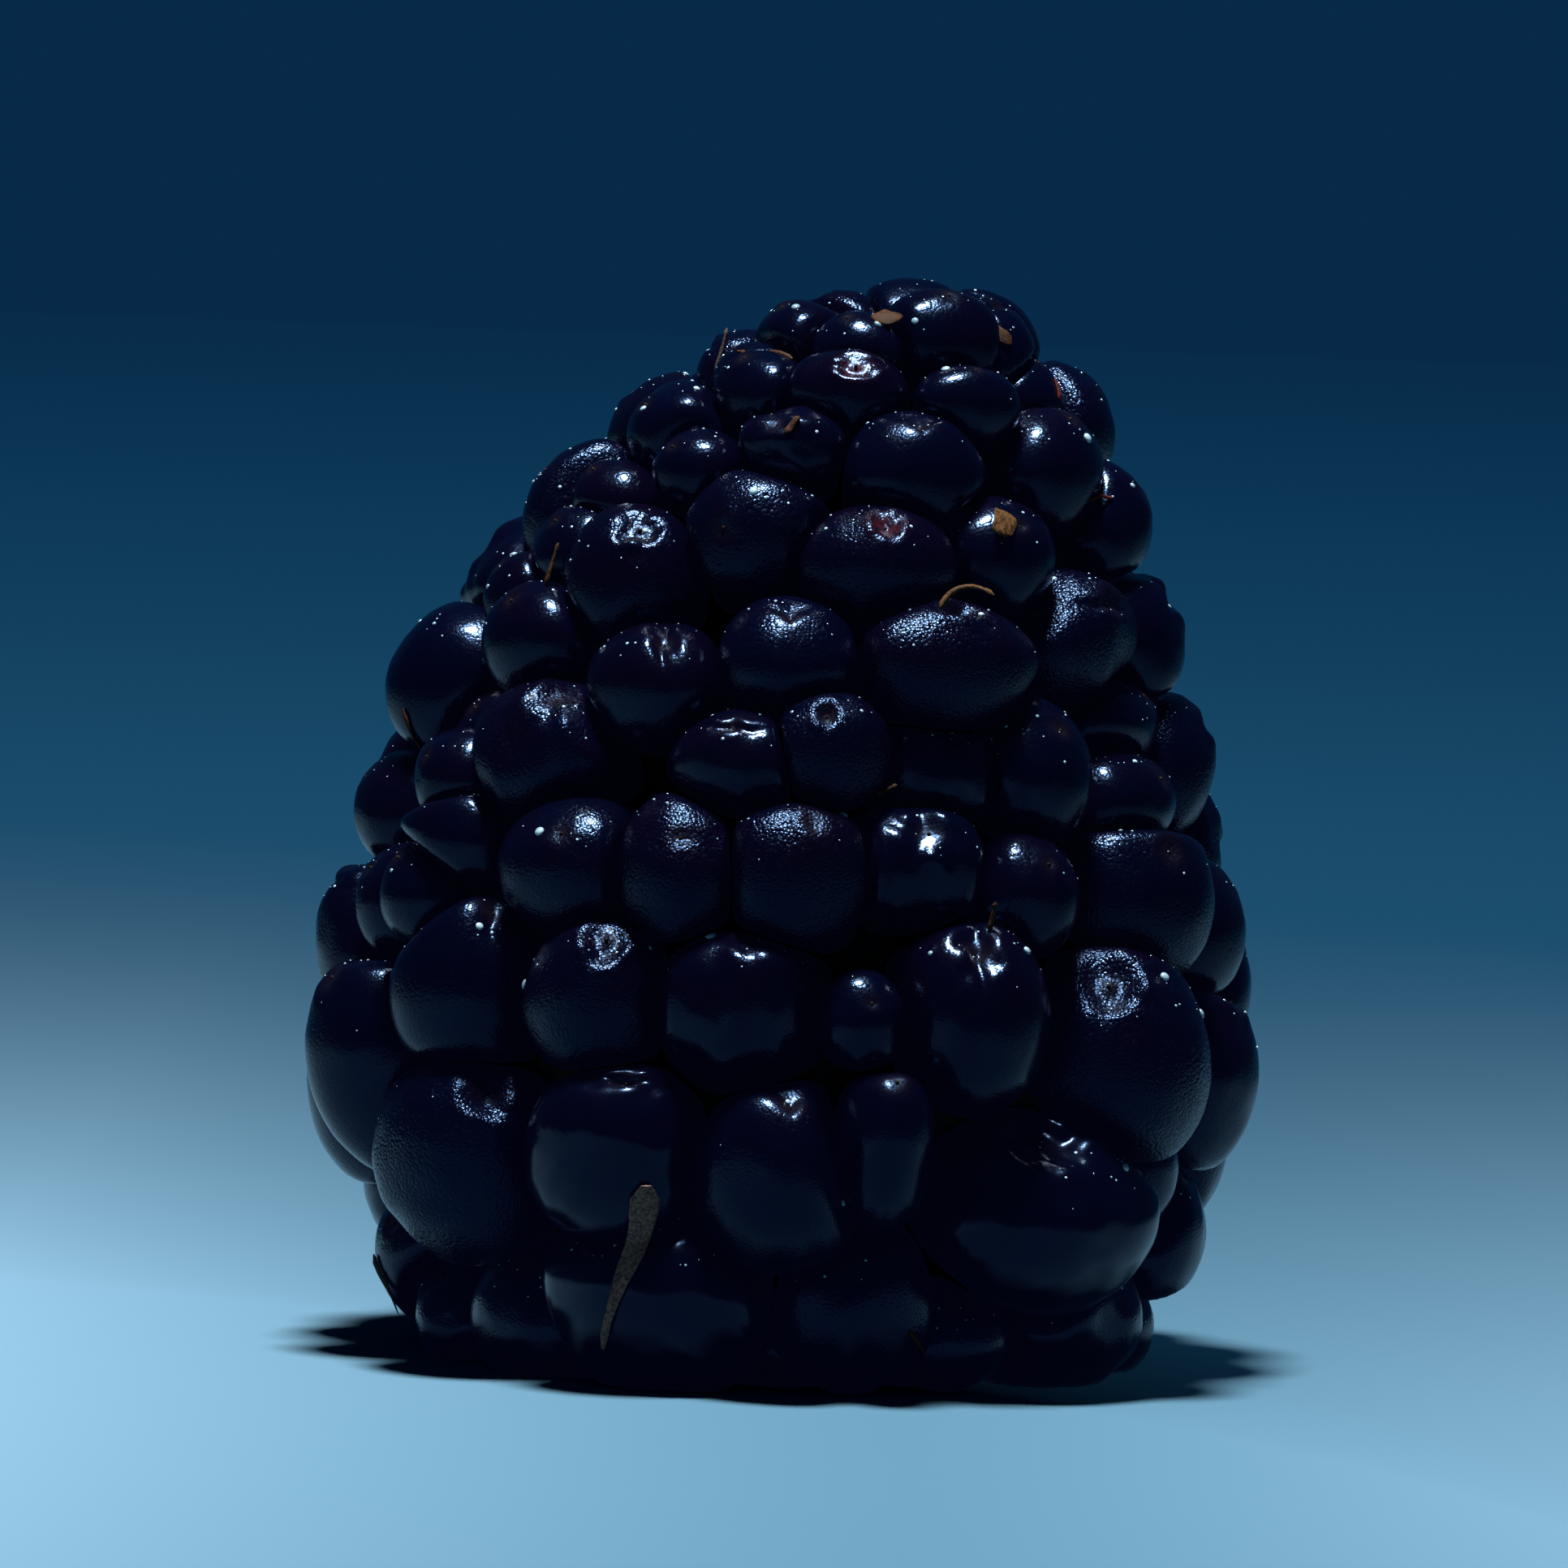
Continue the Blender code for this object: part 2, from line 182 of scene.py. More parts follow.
def across_and_up(normal: Vector) -> tuple[Vector, Vector]:
    """The level direction and the upward direction in the plane that faces along a normal."""
    across = Vector((0, 0, 1)).cross(normal).normalized()
    return across, normal.cross(across)


P, T, R, B, V, N, C, W = (Form.PLUMP, Form.PIT, Form.RING, Form.BOWL, Form.CLEFT, Form.NOTCH, Form.CREASE,
                          Form.SHRUNK)

# Each drupelet's row: azimuth, rise, width, height, form, stand, scar azimuth, scar rise, grain and stain
TIERS = (
    Tier(2.1, 7, 3.8, (
        Drupelet(-87, 2.4, 3.4, 3.0, P, 0.0, -60, 20, 0.4, 0.9), Drupelet(-73, 1.0, 2.5, 2.1, W),
        Drupelet(-44, 1.5, 3.7, 3.1), Drupelet(-18, 2.6, 4.6, 4.4, C, 1.1, 2, 58, 0.1),
        Drupelet(12, 2.3, 3.1, 3.4, B, 0.6, 4, 56, 0.6), Drupelet(30, 1.4, 2.6, 2.0),
        Drupelet(59, 2.0, 4.3, 3.4, W), Drupelet(88, 1.2, 2.8, 2.2))),
    Tier(5.2, 7, 4.0, (
        Drupelet(-106, 4.0, 3.4, 3.4), Drupelet(-50, 5.4, 3.8, 4.4, T, 0.7, 0, 40, 1.0),
        Drupelet(-23, 5.9, 3.5, 3.7, C, 0.6, 0, 47, 0.1), Drupelet(0, 5.5, 3.4, 4.0, N, 0.7, 5, 44, 0.5),
        Drupelet(13, 6.2, 1.8, 3.4, P, 0.5, 14, 50), Drupelet(41, 4.6, 5.1, 3.8, B, 0.9, 14, 46, 0.1),
        Drupelet(66, 5.3, 2.6, 2.8, P, -0.8), Drupelet(85, 3.7, 4.1, 4.1, P, -0.1))),
    Tier(8.4, 8, 3.9, (
        Drupelet(-97, 6.4, 3.7, 5.0), Drupelet(-73, 7.6, 3.3, 4.7),
        Drupelet(-51, 9.6, 3.4, 4.2, V, -0.1, 0, 50, 0.5),
        Drupelet(-27, 9.5, 2.8, 3.4, R, -0.1, 0, 46, 0.9), Drupelet(-7, 9.4, 3.9, 3.5, W, -0.4, 0, 60),
        Drupelet(10, 9.2, 1.6, 1.9, P, -0.5), Drupelet(26, 9.4, 3.0, 4.0, V, 0.0, 12, 46),
        Drupelet(54, 8.2, 3.9, 4.5, R, 0.0, 6, 46, 1.1), Drupelet(85, 7.5, 3.7, 4.4, P, -0.5))),
    Tier(11.8, 9, 3.5, (
        Drupelet(-74, 11.2, 2.3, 2.3, P, -0.4), Drupelet(-60, 11.6, 2.1, 2.1),
        Drupelet(-57, 13.0, 3.2, 2.4), Drupelet(-33, 12.5, 3.3, 2.6, P, 0.0, -20, 30, 0.7),
        Drupelet(-16, 12.6, 2.6, 3.1, P, 0.0, -6, 30, 1.0),
        Drupelet(-1, 12.7, 3.5, 3.5, P, 0.0, 18, 34, 1.1), Drupelet(19, 12.8, 3.3, 2.5, W, -0.7),
        Drupelet(37, 12.2, 2.2, 2.4, P, -0.6), Drupelet(66, 12.0, 3.9, 3.9, P, -0.3, 40, 30, 0.8),
        Drupelet(90, 11.0, 3.4, 3.2, P, -0.3))),
    Tier(14.9, 9, 3.2, (
        Drupelet(-90, 13.3, 2.6, 2.4), Drupelet(-71, 15.0, 2.6, 2.6, P, -1.5),
        Drupelet(-60, 14.4, 2.3, 1.9), Drupelet(-45, 15.0, 3.8, 3.0, W, 0.0, -4, 48, 0.9),
        Drupelet(-8, 15.2, 2.9, 2.0, C, 0.0, -20, 42), Drupelet(4, 15.6, 2.5, 2.4, T, 0.1, 2, 40, 1.1),
        Drupelet(23, 15.1, 3.2, 2.6, W, -0.9), Drupelet(42, 15.1, 2.7, 2.9, P, -0.5),
        Drupelet(69, 14.2, 3.4, 2.1, P, -0.8), Drupelet(74, 15.9, 3.6, 2.2, P, -1.0))),
    Tier(17.6, 8, 3.1, (
        Drupelet(-89, 16.4, 3.2, 3.5, P, 0.4), Drupelet(-57, 17.8, 2.8, 2.4),
        Drupelet(-26, 16.95, 2.8, 2.4, V, 0.0, 0, 48, 0.4),
        Drupelet(-4, 17.6, 2.8, 2.6, N, 0.1, 0, 50, 0.7),
        Drupelet(23, 17.5, 4.1, 2.6, T, 0.2, 36, 54, 1.0),
        Drupelet(66, 18.1, 4.5, 2.8, C, -0.7, 50, 30, 1.1))),
    Tier(20.2, 7, 2.9, (
        Drupelet(-70, 18.8, 1.9, 1.9), Drupelet(-62, 19.9, 2.3, 2.1),
        Drupelet(-44, 19.4, 2.9, 3.0, R, 0.0, -2, 46, 0.7),
        Drupelet(-20, 20.6, 3.1, 2.9, P, -0.3, -30, 10, 0.8),
        Drupelet(9, 19.9, 3.3, 2.4, T, 0.0, 12, 44, 0.8, 0.5), Drupelet(38, 20.3, 2.5, 2.3, P, -0.4),
        Drupelet(87, 21.0, 2.9, 2.7))),
    Tier(22.5, 5, 2.8, (
        Drupelet(-65, 21.2, 2.1, 1.7), Drupelet(-66, 22.7, 3.0, 2.3), Drupelet(-44, 22.1, 1.9, 1.7),
        Drupelet(-21, 22.7, 2.4, 1.5, W), Drupelet(13, 22.2, 2.9, 2.6, N, 0.0, 12, 50),
        Drupelet(65, 22.3, 3.1, 2.5, P, -0.4))),
    Tier(24.0, 4, 2.5, (
        Drupelet(-64, 24.3, 1.8, 1.6), Drupelet(-49, 23.9, 2.5, 1.7),
        Drupelet(-16, 23.9, 2.7, 1.9, R, 0.0, 8, 42, 0.5, 0.7), Drupelet(25, 23.9, 2.2, 1.5),
        Drupelet(75, 23.9, 2.2, 2.2, P, -1.0)), rear_stand=-0.4),
    Tier(25.0, 4, 2.3, (
        Drupelet(-68, 25.0, 2.6, 1.9), Drupelet(-27, 25.1, 1.9, 1.6),
        Drupelet(14, 25.3, 2.8, 2.0, P, -0.3)), rear_stand=-0.8),
)

CROWN = Drupelet(200, 25.5, 2.6, 2.2, P, -1.2)

# How often each form is drawn for the drupelets of the hidden side
REAR_FORMS = (P, P, P, P, T, T, R, B, V, N, C, W)


@dataclass(frozen=True)
class Body:
    """A placed drupelet: its middle, the way it faces, and its half sizes across, up, out and in."""

    drupelet: Drupelet
    centre: Vector
    normal: Vector
    half_sizes: tuple[float, float, float, float]

    @property
    def mean(self) -> float:
        """Mean half size across the skin."""
        return (self.half_sizes[0] + self.half_sizes[1]) / 2


@dataclass
class Layout:
    """Where every drupelet sits. The hidden side is filled by rule, evenly and with a little jitter."""

    outline: Outline = field(default_factory=Outline)
    inset: float = 1.2
    growth: float = 1.38
    depth_ratio: float = 1.37
    inner_ratio: float = 1.5
    seed: int = 11
    jitter: float = 0.10
    rise_jitter: float = 0.3
    size_spread: tuple[float, float] = (0.9, 1.12)      # widths of the hidden drupelets against their tier's
    height_spread: tuple[float, float] = (0.92, 1.12)   # their heights against their widths
    grain_spread: tuple[float, float] = (0.2, 1.0)
    rounds: int = 80
    step: float = 0.3
    lowest_rise: float = 1.6
    tip_room: float = 1.5
    least_reach: float = 0.3
    least_radius: float = 1.0
    under_count: int = 11
    under_radius: float = 6.2
    under_rise: float = 1.2
    under_size: float = 3.5
    under_tilt: float = 0.4

    def middle_of(self, drupelet: Drupelet) -> Vector:
        """Middle of a drupelet.

        Args:
            drupelet: the drupelet.

        Returns:
            The point, inset from the outline by the drupelet's size.
        """
        inset = self.inset * drupelet.half_size
        reach = max(self.outline.radius(drupelet.rise) + drupelet.stand - inset, self.least_reach)
        return self.outline.middle(drupelet.rise) + reach * outward(drupelet.azimuth)

    def rear_of(self, tier: Tier, rng: random.Random) -> list[Drupelet]:
        """The drupelets that close a tier round the back.

        Args:
            tier: the tier to close.
            rng: the source of the jitter.

        Returns:
            The drupelets in order of azimuth, evenly spaced with a little jitter.
        """
        first, last = tier.front[0].azimuth, tier.front[-1].azimuth
        pitch = (360 + first - last) / (tier.rear_count + 1)
        found = []
        for place in range(1, tier.rear_count + 1):
            azimuth = last + pitch * (place + rng.uniform(-self.jitter, self.jitter))
            rise = tier.rear_rise + rng.uniform(-self.rise_jitter, self.rise_jitter)
            width = tier.rear_size * rng.uniform(*self.size_spread)
            height = width * rng.uniform(*self.height_spread)
            found.append(Drupelet(azimuth, rise, width, height, stand=tier.rear_stand))
        return found

    def relaxed(self, fixed: list[Drupelet], free: list[Drupelet]) -> list[Drupelet]:
        """The free drupelets, moved over the outline until they sit evenly among all the others.

        Args:
            fixed: drupelets that stay where they are.
            free: drupelets that may move.

        Returns:
            The free drupelets in their settled places, in the same order.
        """
        for _ in range(self.rounds):
            settled = []
            for index, drupelet in enumerate(free):
                here = self.middle_of(drupelet)
                push = Vector()
                for other in fixed + free[:index] + free[index + 1:]:
                    apart = here - self.middle_of(other)
                    wanted = drupelet.half_size + other.half_size
                    if 0 < apart.length < wanted:
                        push += apart.normalized() * (wanted - apart.length)
                sideways = push.dot(outward(drupelet.azimuth + 90))
                radius = max(self.outline.radius(drupelet.rise), self.least_radius)
                azimuth = drupelet.azimuth + math.degrees(self.step * sideways / radius)
                rise = max(drupelet.rise + self.step * push.z, self.lowest_rise)
                settled.append(replace(drupelet, azimuth=azimuth,
                                       rise=min(rise, self.outline.height - self.tip_room)))
            free = settled
        return free

    def placed(self, drupelet: Drupelet) -> Body:
        """A drupelet of the outline with its middle, its facing and its half sizes.

        Args:
            drupelet: the drupelet.

        Returns:
            The placed drupelet.
        """
        half = drupelet.half_size
        sizes = (self.growth * drupelet.width / 2, self.growth * drupelet.height / 2,
                 self.depth_ratio * half, self.inner_ratio * half)
        normal = self.outline.normal(drupelet.azimuth, drupelet.rise)
        return Body(drupelet, self.middle_of(drupelet), normal, sizes)

    def under_ring(self) -> list[Body]:
        """The drupelets under the berry, between the plug and the lowest tier.

        Returns:
            The placed drupelets.
        """
        half = self.under_size / 2
        found = []
        for place in range(self.under_count):
            azimuth = 360 * place / self.under_count
            centre = self.under_radius * outward(azimuth) + Vector((0, 0, self.under_rise))
            normal = (outward(azimuth) * self.under_tilt - Vector((0, 0, 1))).normalized()
            drupelet = Drupelet(azimuth, self.under_rise, self.under_size, self.under_size)
            found.append(Body(drupelet, centre, normal, (half, half, half, self.inner_ratio * half)))
        return found

    def groups(self) -> dict[str, list[Body]]:
        """Every drupelet in named groups: the tiers from the lowest up, the crown, the ring underneath.

        Returns:
            The placed drupelets, by the names of their groups.
        """
        rng = random.Random(self.seed)
        fixed = [CROWN, *(drupelet for tier in TIERS for drupelet in tier.front)]
        rear = [self.rear_of(tier, rng) for tier in TIERS]
        settled = iter(self.relaxed(fixed, [drupelet for found in rear for drupelet in found]))
        pick = random.Random(self.seed + 1)
        groups = {}
        for number, (tier, found) in enumerate(zip(TIERS, rear), start=1):
            behind = [replace(next(settled), form=pick.choice(REAR_FORMS),
                              grain=pick.uniform(*self.grain_spread)) for _ in found]
            groups[f"drupelets_tier_{number:02d}"] = [self.placed(one) for one in (*tier.front, *behind)]
        groups["drupelet_crown"] = [self.placed(CROWN)]
        groups["drupelets_under"] = self.under_ring()
        return groups


@dataclass(frozen=True)
class ScarShape:
    """Depths and widths of a form's hollow and rim, for a drupelet of 1.6 mm half size."""

    depth: float
    width: float
    rim: float = 0.02
    rim_at: float = 0.42
    rim_width: float = 0.16
    slack: float = 1.0       # how much lumpier than a plump side


SCARS = {
    Form.PLUMP: ScarShape(0.07, 0.20),
    Form.PIT: ScarShape(0.34, 0.30, rim=0.05, rim_at=0.62, rim_width=0.22, slack=1.3),
    Form.RING: ScarShape(0.26, 0.46, rim=0.06, rim_at=0.78, rim_width=0.22, slack=1.4),
    Form.BOWL: ScarShape(0.34, 0.72, rim=0.04, rim_at=1.15, rim_width=0.28, slack=1.4),
    Form.CLEFT: ScarShape(0.05, 0.16, rim=0.0, slack=0.8),
    Form.NOTCH: ScarShape(0.05, 0.16, rim=0.0, slack=1.0),
    Form.CREASE: ScarShape(0.17, 0.22, slack=1.5),
    Form.SHRUNK: ScarShape(0.20, 0.50, rim=0.04, rim_at=0.85, rim_width=0.3, slack=3.2),
}


@dataclass(frozen=True)
class Folds:
    """Sizes of what some forms have besides the hollow of the scar, for a drupelet of 1.6 mm half size."""

    nub_height: float = 0.10        # the nub in the middle of a ring
    nub_width: float = 0.16
    furrow_depth: float = 0.30      # the furrow of a cleft
    furrow_width: float = 0.34
    furrow_middle: float = 0.2
    furrow_length: float = 1.2
    furrow_wander: float = 0.08
    wedge_depth: float = 0.26       # the wedge of a notch
    wedge_foot: float = 0.12
    wedge_slope: float = 0.8
    wedge_edge: float = 0.10
    wedge_reach: float = 1.1
    wedge_wander: float = 0.05
    fold_depth: float = 0.13        # the fold of a crease
    fold_width: float = 0.15
    fold_length: float = 1.2
    fold_drop: float = 0.1
    fold_bow: float = 0.18
    fold_wander: float = 0.12
    roll_height: float = 0.05       # the roll above the fold
    roll_rise: float = 0.36
    roll_width: float = 0.2


def bell(away: np.ndarray, width: float) -> np.ndarray:
    """A smooth bump: 1 in its middle, and next to nothing two widths away."""
    return np.exp(-(away / width)**2)


def edge(past: np.ndarray, blend: float) -> np.ndarray:
    """A smooth step from 1 down to 0 where a distance passes zero."""
    return 1 / (1 + np.exp(past / blend))


@dataclass
class DrupeletShaper:
    """Turns placed drupelets into closed bodies that are flattened against each other."""

    groups: dict[str, list[Body]]
    folds: Folds = Folds()
    seed: int = 29
    sharpness: float = 12.0      # how tightly a side turns into the flat where it meets a neighbour
    crevice: float = 0.05        # width of the dark line between two drupelets
    touching: float = 1.5        # how far apart neighbours may be, against the sum of their half sizes
    usual_half: float = 1.6

    lump: float = 0.035          # height of the slow lumps on a plump side
    slow_wave: float = 2.3
    quick_wave: float = 0.75
    quick_share: float = 0.22
    waves: int = 9
    wave_spread: tuple[float, float] = (0.75, 1.4)

    fine_step: float = 0.11      # distance between the grid's rings near the scar
    fine_reach: float = 1.1
    plain_step: float = 0.19     # and farther out
    coarse_step: float = 0.5     # and inside the berry
    outer_angle: float = 1.95
    last_gap: float = 0.6        # least distance of the last ring from the pole, in coarse steps
    segment_step: float = 0.2
    segments_low: int = 36
    segments_high: int = 72

    scar_rise_low: float = 41.0  # degrees above level that a scar faces at the foot
    scar_rise_high: float = 26.0    # and at the tip
    scar_rise_top: float = 27.0
    scar_tilt: float = 8.0       # how much higher it faces than its drupelet, at least
    scar_steepest: float = 82.0
    under_z: float = -0.5        # a drupelet that faces down more than this has its scar in its middle
    wander: float = 9.0          # degrees that a scar strays from its usual facing
    depth_spread: tuple[float, float] = (0.8, 1.25)
    width_spread: tuple[float, float] = (0.85, 1.2)
    skew_spread: tuple[float, float] = (0.8, 1.25)
    rim_wander: float = 0.10
    rim_unevenness: float = 0.7
    wall_blend: float = 0.22
    scar_spot: float = 0.34      # width of the browned spot
    stain_spot: float = 0.42
    outer_gain: float = 1.6
    nub_from: float = 0.5        # least height above the floor of a scar with a nub in it
    nub_size: float = 0.045
    nub_spread: float = 0.03

    def __post_init__(self) -> None:
        """Note every drupelet's middle and size, and make room for the scars."""
        bodies = [body for group in self.groups.values() for body in group]
        self.centres = np.array([body.centre for body in bodies])
        self.means = np.array([body.mean for body in bodies])
        self.scars: list[tuple[Vector, Vector, float]] = []

    def ring_angles(self, size: float) -> np.ndarray:
        """Angles of the grid's rings from the scar, close together near it and wide apart inside.

        Args:
            size: the drupelet's mean half size.

        Returns:
            The angles in radians.
        """
        angles = []
        angle = 0.0
        while True:
            if angle * size < self.fine_reach:
                step = self.fine_step
            else:
                step = self.plain_step if angle < self.outer_angle else self.coarse_step
            angle += step / size
            if angle > math.pi - self.last_gap * self.coarse_step / size:
                return np.array(angles)
            angles.append(angle)

    def scar_facing(self, body: Body, rng: random.Random) -> Vector:
        """The way that a drupelet's scar faces.

        Args:
            body: the placed drupelet.
            rng: the source of its straying.

        Returns:
            A unit vector.
        """
        drupelet = body.drupelet
        if body.normal.z < self.under_z:
            return body.normal
        share = min(drupelet.rise / self.scar_rise_top, 1.0)
        usual = self.scar_rise_low + (self.scar_rise_high - self.scar_rise_low) * share
        tilt = math.degrees(math.asin(max(min(body.normal.z, 1.0), -1.0)))
        rise = drupelet.scar_rise
        if rise is None:
            least = tilt + self.scar_tilt
            rise = min(max(usual, least), self.scar_steepest) + rng.uniform(-self.wander, self.wander)
        azimuth = drupelet.scar_azimuth
        if azimuth is None:
            azimuth = drupelet.azimuth + rng.uniform(-self.wander, self.wander)
        return facing(azimuth, rise)

    def waves_at(self, points: np.ndarray, wavelength: float, rng: np.random.Generator) -> np.ndarray:
        """Smooth noise of about unit height: a sum of waves in random directions.

        Args:
            points: positions, one row each.
            wavelength: mean distance from crest to crest, in the positions' unit.
            rng: the source of the waves.

        Returns:
            One value for each point.
        """
        ways = rng.normal(size=(self.waves, 3))
        ways /= np.linalg.norm(ways, axis=1, keepdims=True)
        lengths = wavelength * rng.uniform(*self.wave_spread, self.waves)
        phases = rng.uniform(0, 2 * math.pi, self.waves)
        turns = points @ (ways * (2 * math.pi / lengths[:, None])).T + phases
        return np.sin(turns).sum(1) / math.sqrt(self.waves)

    def scar_relief(self, form: Form, across: np.ndarray, up: np.ndarray, lumps: np.ndarray,
                    varied: np.random.Generator) -> np.ndarray:
        """Height of a form's relief over the plain side.

        Args:
            form: the drupelet's form.
            across: level distance from the scar, for a drupelet of the usual size.
            up: upward distance from the scar.
            lumps: noise that makes the rim uneven.
            varied: the source of this drupelet's own proportions.

        Returns:
            The height at each point, below zero in a hollow.
        """
        shape, folds = SCARS[form], self.folds
        deep, wide = varied.uniform(*self.depth_spread), varied.uniform(*self.width_spread)
        skew = varied.uniform(*self.skew_spread)
        away = np.hypot(across * skew, up / skew) * (1 + self.rim_wander * lumps)
        rim = shape.rim * (1 + self.rim_unevenness * lumps)
        rim = rim * bell(away - shape.rim_at * wide, shape.rim_width)
        width = shape.width * wide
        flat_floored = form in (Form.RING, Form.BOWL)
        hollow = edge(away - width, self.wall_blend * width) if flat_floored else bell(away, width)
        relief = rim - shape.depth * deep * hollow
        if form is Form.RING:
            relief += folds.nub_height * bell(away, folds.nub_width)
        if form is Form.CLEFT:
            aside = across - folds.furrow_wander * lumps
            along = bell(up - folds.furrow_middle, folds.furrow_length)
            relief -= folds.furrow_depth * deep * bell(aside, folds.furrow_width) * along
        if form is Form.NOTCH:
            outside = folds.wedge_slope * np.abs(across) - folds.wedge_foot - up - folds.wedge_wander * lumps
            near = bell(away, folds.wedge_reach)
            relief -= folds.wedge_depth * deep * edge(outside, folds.wedge_edge) * near
        if form is Form.CREASE:
            above = up - folds.fold_wander * lumps - folds.fold_bow * across**2 + folds.fold_drop
            along = bell(across, folds.fold_length)
            relief -= folds.fold_depth * deep * bell(above, folds.fold_width) * along
            relief += folds.roll_height * bell(above - folds.roll_rise, folds.roll_width) * along
        return relief

    def reach_along(self, body: Body, ways: np.ndarray) -> np.ndarray:
        """Distance from a drupelet's middle to its plain side, along unit vectors.

        Args:
            body: the placed drupelet.
            ways: the unit vectors, one row each.

        Returns:
            One distance for each.
        """
        across, up = across_and_up(body.normal)
        wide, tall, out, inside = body.half_sizes
        along = ways @ np.array(body.normal)
        deep = np.where(along > 0, out, inside)
        sideways, upward = ways @ np.array(across), ways @ np.array(up)
        return 1 / np.sqrt((sideways / wide)**2 + (upward / tall)**2 + (along / deep)**2)

    def pressed(self, index: int, body: Body, ways: np.ndarray, reach: np.ndarray) -> np.ndarray:
        """The reach along unit vectors, brought in where neighbours press against the drupelet.

        Args:
            index: the drupelet's place among all.
            body: the drupelet.
            ways: unit vectors from its middle.
            reach: how far it would reach alone.

        Returns:
            How far it reaches among its neighbours.
        """
        apart = self.centres - self.centres[index]
        spans = np.linalg.norm(apart, axis=1)
        near = (spans > 1e-6) & (spans < self.touching * (self.means + body.mean))
        total = reach**-self.sharpness
        for offset, span, mean in zip(apart[near], spans[near], self.means[near]):
            half = span * body.mean / (body.mean + mean) - self.crevice / 2
            toward = np.clip(ways @ (offset / span), 1e-3, None)
            total = total + (toward / half)**self.sharpness
        return total**(-1 / self.sharpness)

    def shape(self, index: int,
              body: Body) -> tuple[np.ndarray, list[tuple[int, ...]], dict[str, np.ndarray]]:
        """One drupelet as a closed grid about its scar.

        Args:
            index: its place among all the drupelets, which also seeds its own lumps.
            body: the placed drupelet.

        Returns:
            Its points, its faces, and its values at each point: how near the scar is, how far out the point
            faces, the drupelet's own tone and grain, and its red stain.
        """
        rng = random.Random(self.seed * 1000 + index)
        varied = np.random.default_rng(self.seed * 1000 + index)
        scar = self.scar_facing(body, rng)
        across, up = across_and_up(scar)
        rings = self.ring_angles(body.mean)
        girth = 2 * math.pi * body.mean
        segments = int(min(max(girth / self.segment_step, self.segments_low), self.segments_high))
        turns = np.arange(segments) * 2 * math.pi / segments
        flat = np.cos(turns)[:, None] * np.array(across) + np.sin(turns)[:, None] * np.array(up)
        rows = [np.cos(angle) * np.array(scar) + np.sin(angle) * flat for angle in rings]
        ways = np.vstack([np.array(scar)[None], *rows, -np.array(scar)[None]])

        drupelet = body.drupelet
        scale = drupelet.half_size / self.usual_half
        away = np.arccos(np.clip(ways @ np.array(scar), -1, 1)) * body.mean / scale
        level = ways - (ways @ np.array(scar))[:, None] * np.array(scar)
        length = np.maximum(np.linalg.norm(level, axis=1), 1e-9)
        sideways = away * (level @ np.array(across)) / length
        upward = away * (level @ np.array(up)) / length

        slack = SCARS[drupelet.form].slack
        slow = self.waves_at(ways * body.mean, self.slow_wave * scale, varied)
        quick = self.waves_at(ways * body.mean, self.quick_wave * scale, varied)
        lumps = self.lump * scale * (slack * slow + self.quick_share * slack * quick)
        relief = scale * self.scar_relief(drupelet.form, sideways, upward, quick, varied)
        reach = self.pressed(index, body, ways, self.reach_along(body, ways) + lumps + relief)
        points = np.array(body.centre) + ways * reach[:, None]
        points[:, 2] = np.maximum(points[:, 2], 0.0)
        if points[0][2] > self.nub_from:
            self.scars.append((Vector(points[0]), scar, self.nub_size + self.nub_spread * rng.random()))
        values = {
            "scar": bell(away, self.scar_spot),
            "outer": np.clip(ways @ np.array(body.normal) * self.outer_gain, 0, 1),
            "tone": np.full(len(ways), rng.random()),
            "grain": np.full(len(ways), drupelet.grain),
            "stain": drupelet.stain * bell(away, self.stain_spot),
        }
        return points, grid_faces(len(rings), segments), values

    def build(self) -> dict[str, bpy.types.Object]:
        """Every group of drupelets as one object each.

        Returns:
            The objects, by their names.
        """
        pieces = {}
        index = 0
        for name, bodies in self.groups.items():
            points, faces, values = [], [], {"scar": [], "outer": [], "tone": [], "grain": [], "stain": []}
            count = 0
            for body in bodies:
                own, own_faces, own_values = self.shape(index, body)
                points.append(own)
                faces += [tuple(corner + count for corner in face) for face in own_faces]
                for key, value in own_values.items():
                    values[key].append(value)
                count += len(own)
                index += 1
            merged = {key: np.concatenate(value) for key, value in values.items()}
            pieces[name] = mesh_object(name, np.vstack(points) * MM, faces, merged)
        return pieces


def grid_faces(rings: int, segments: int) -> list[tuple[int, ...]]:
    """Faces of a closed grid of rings between two poles, with their corners in outward order.

    Args:
        rings: the number of rings.
        segments: the number of points in each ring.

    Returns:
        The faces, for points in the order first pole, rings, last pole.
    """
    faces: list[tuple[int, ...]] = []
    last = 1 + rings * segments
    for place in range(segments):
        after = (place + 1) % segments
        faces.append((0, 1 + place, 1 + after))
        for ring in range(rings - 1):
            low, high = 1 + ring * segments, 1 + (ring + 1) * segments
            faces.append((low + place, high + place, high + after, low + after))
        bottom = 1 + (rings - 1) * segments
        faces.append((bottom + after, bottom + place, last))
    return faces


def mesh_object(name: str, points: np.ndarray, faces: Sequence[tuple[int, ...]],
                values: dict[str, np.ndarray] | None = None) -> bpy.types.Object:
    """A smooth mesh object at the origin.

    Args:
        name: the object's name.
        points: positions in metres.
        faces: the faces' corners.
        values: numbers to keep at each point, by name.

    Returns:
        The linked object.
    """
    mesh = bpy.data.meshes.new(name)
    mesh.from_pydata(points.tolist(), [], faces)
    for key, value in (values or {}).items():
        mesh.attributes.new(key, "FLOAT", "POINT").data.foreach_set("value", value.astype(np.float32))
    mesh.shade_smooth()
    piece = bpy.data.objects.new(name, mesh)
    bpy.context.scene.collection.objects.link(piece)
    return piece


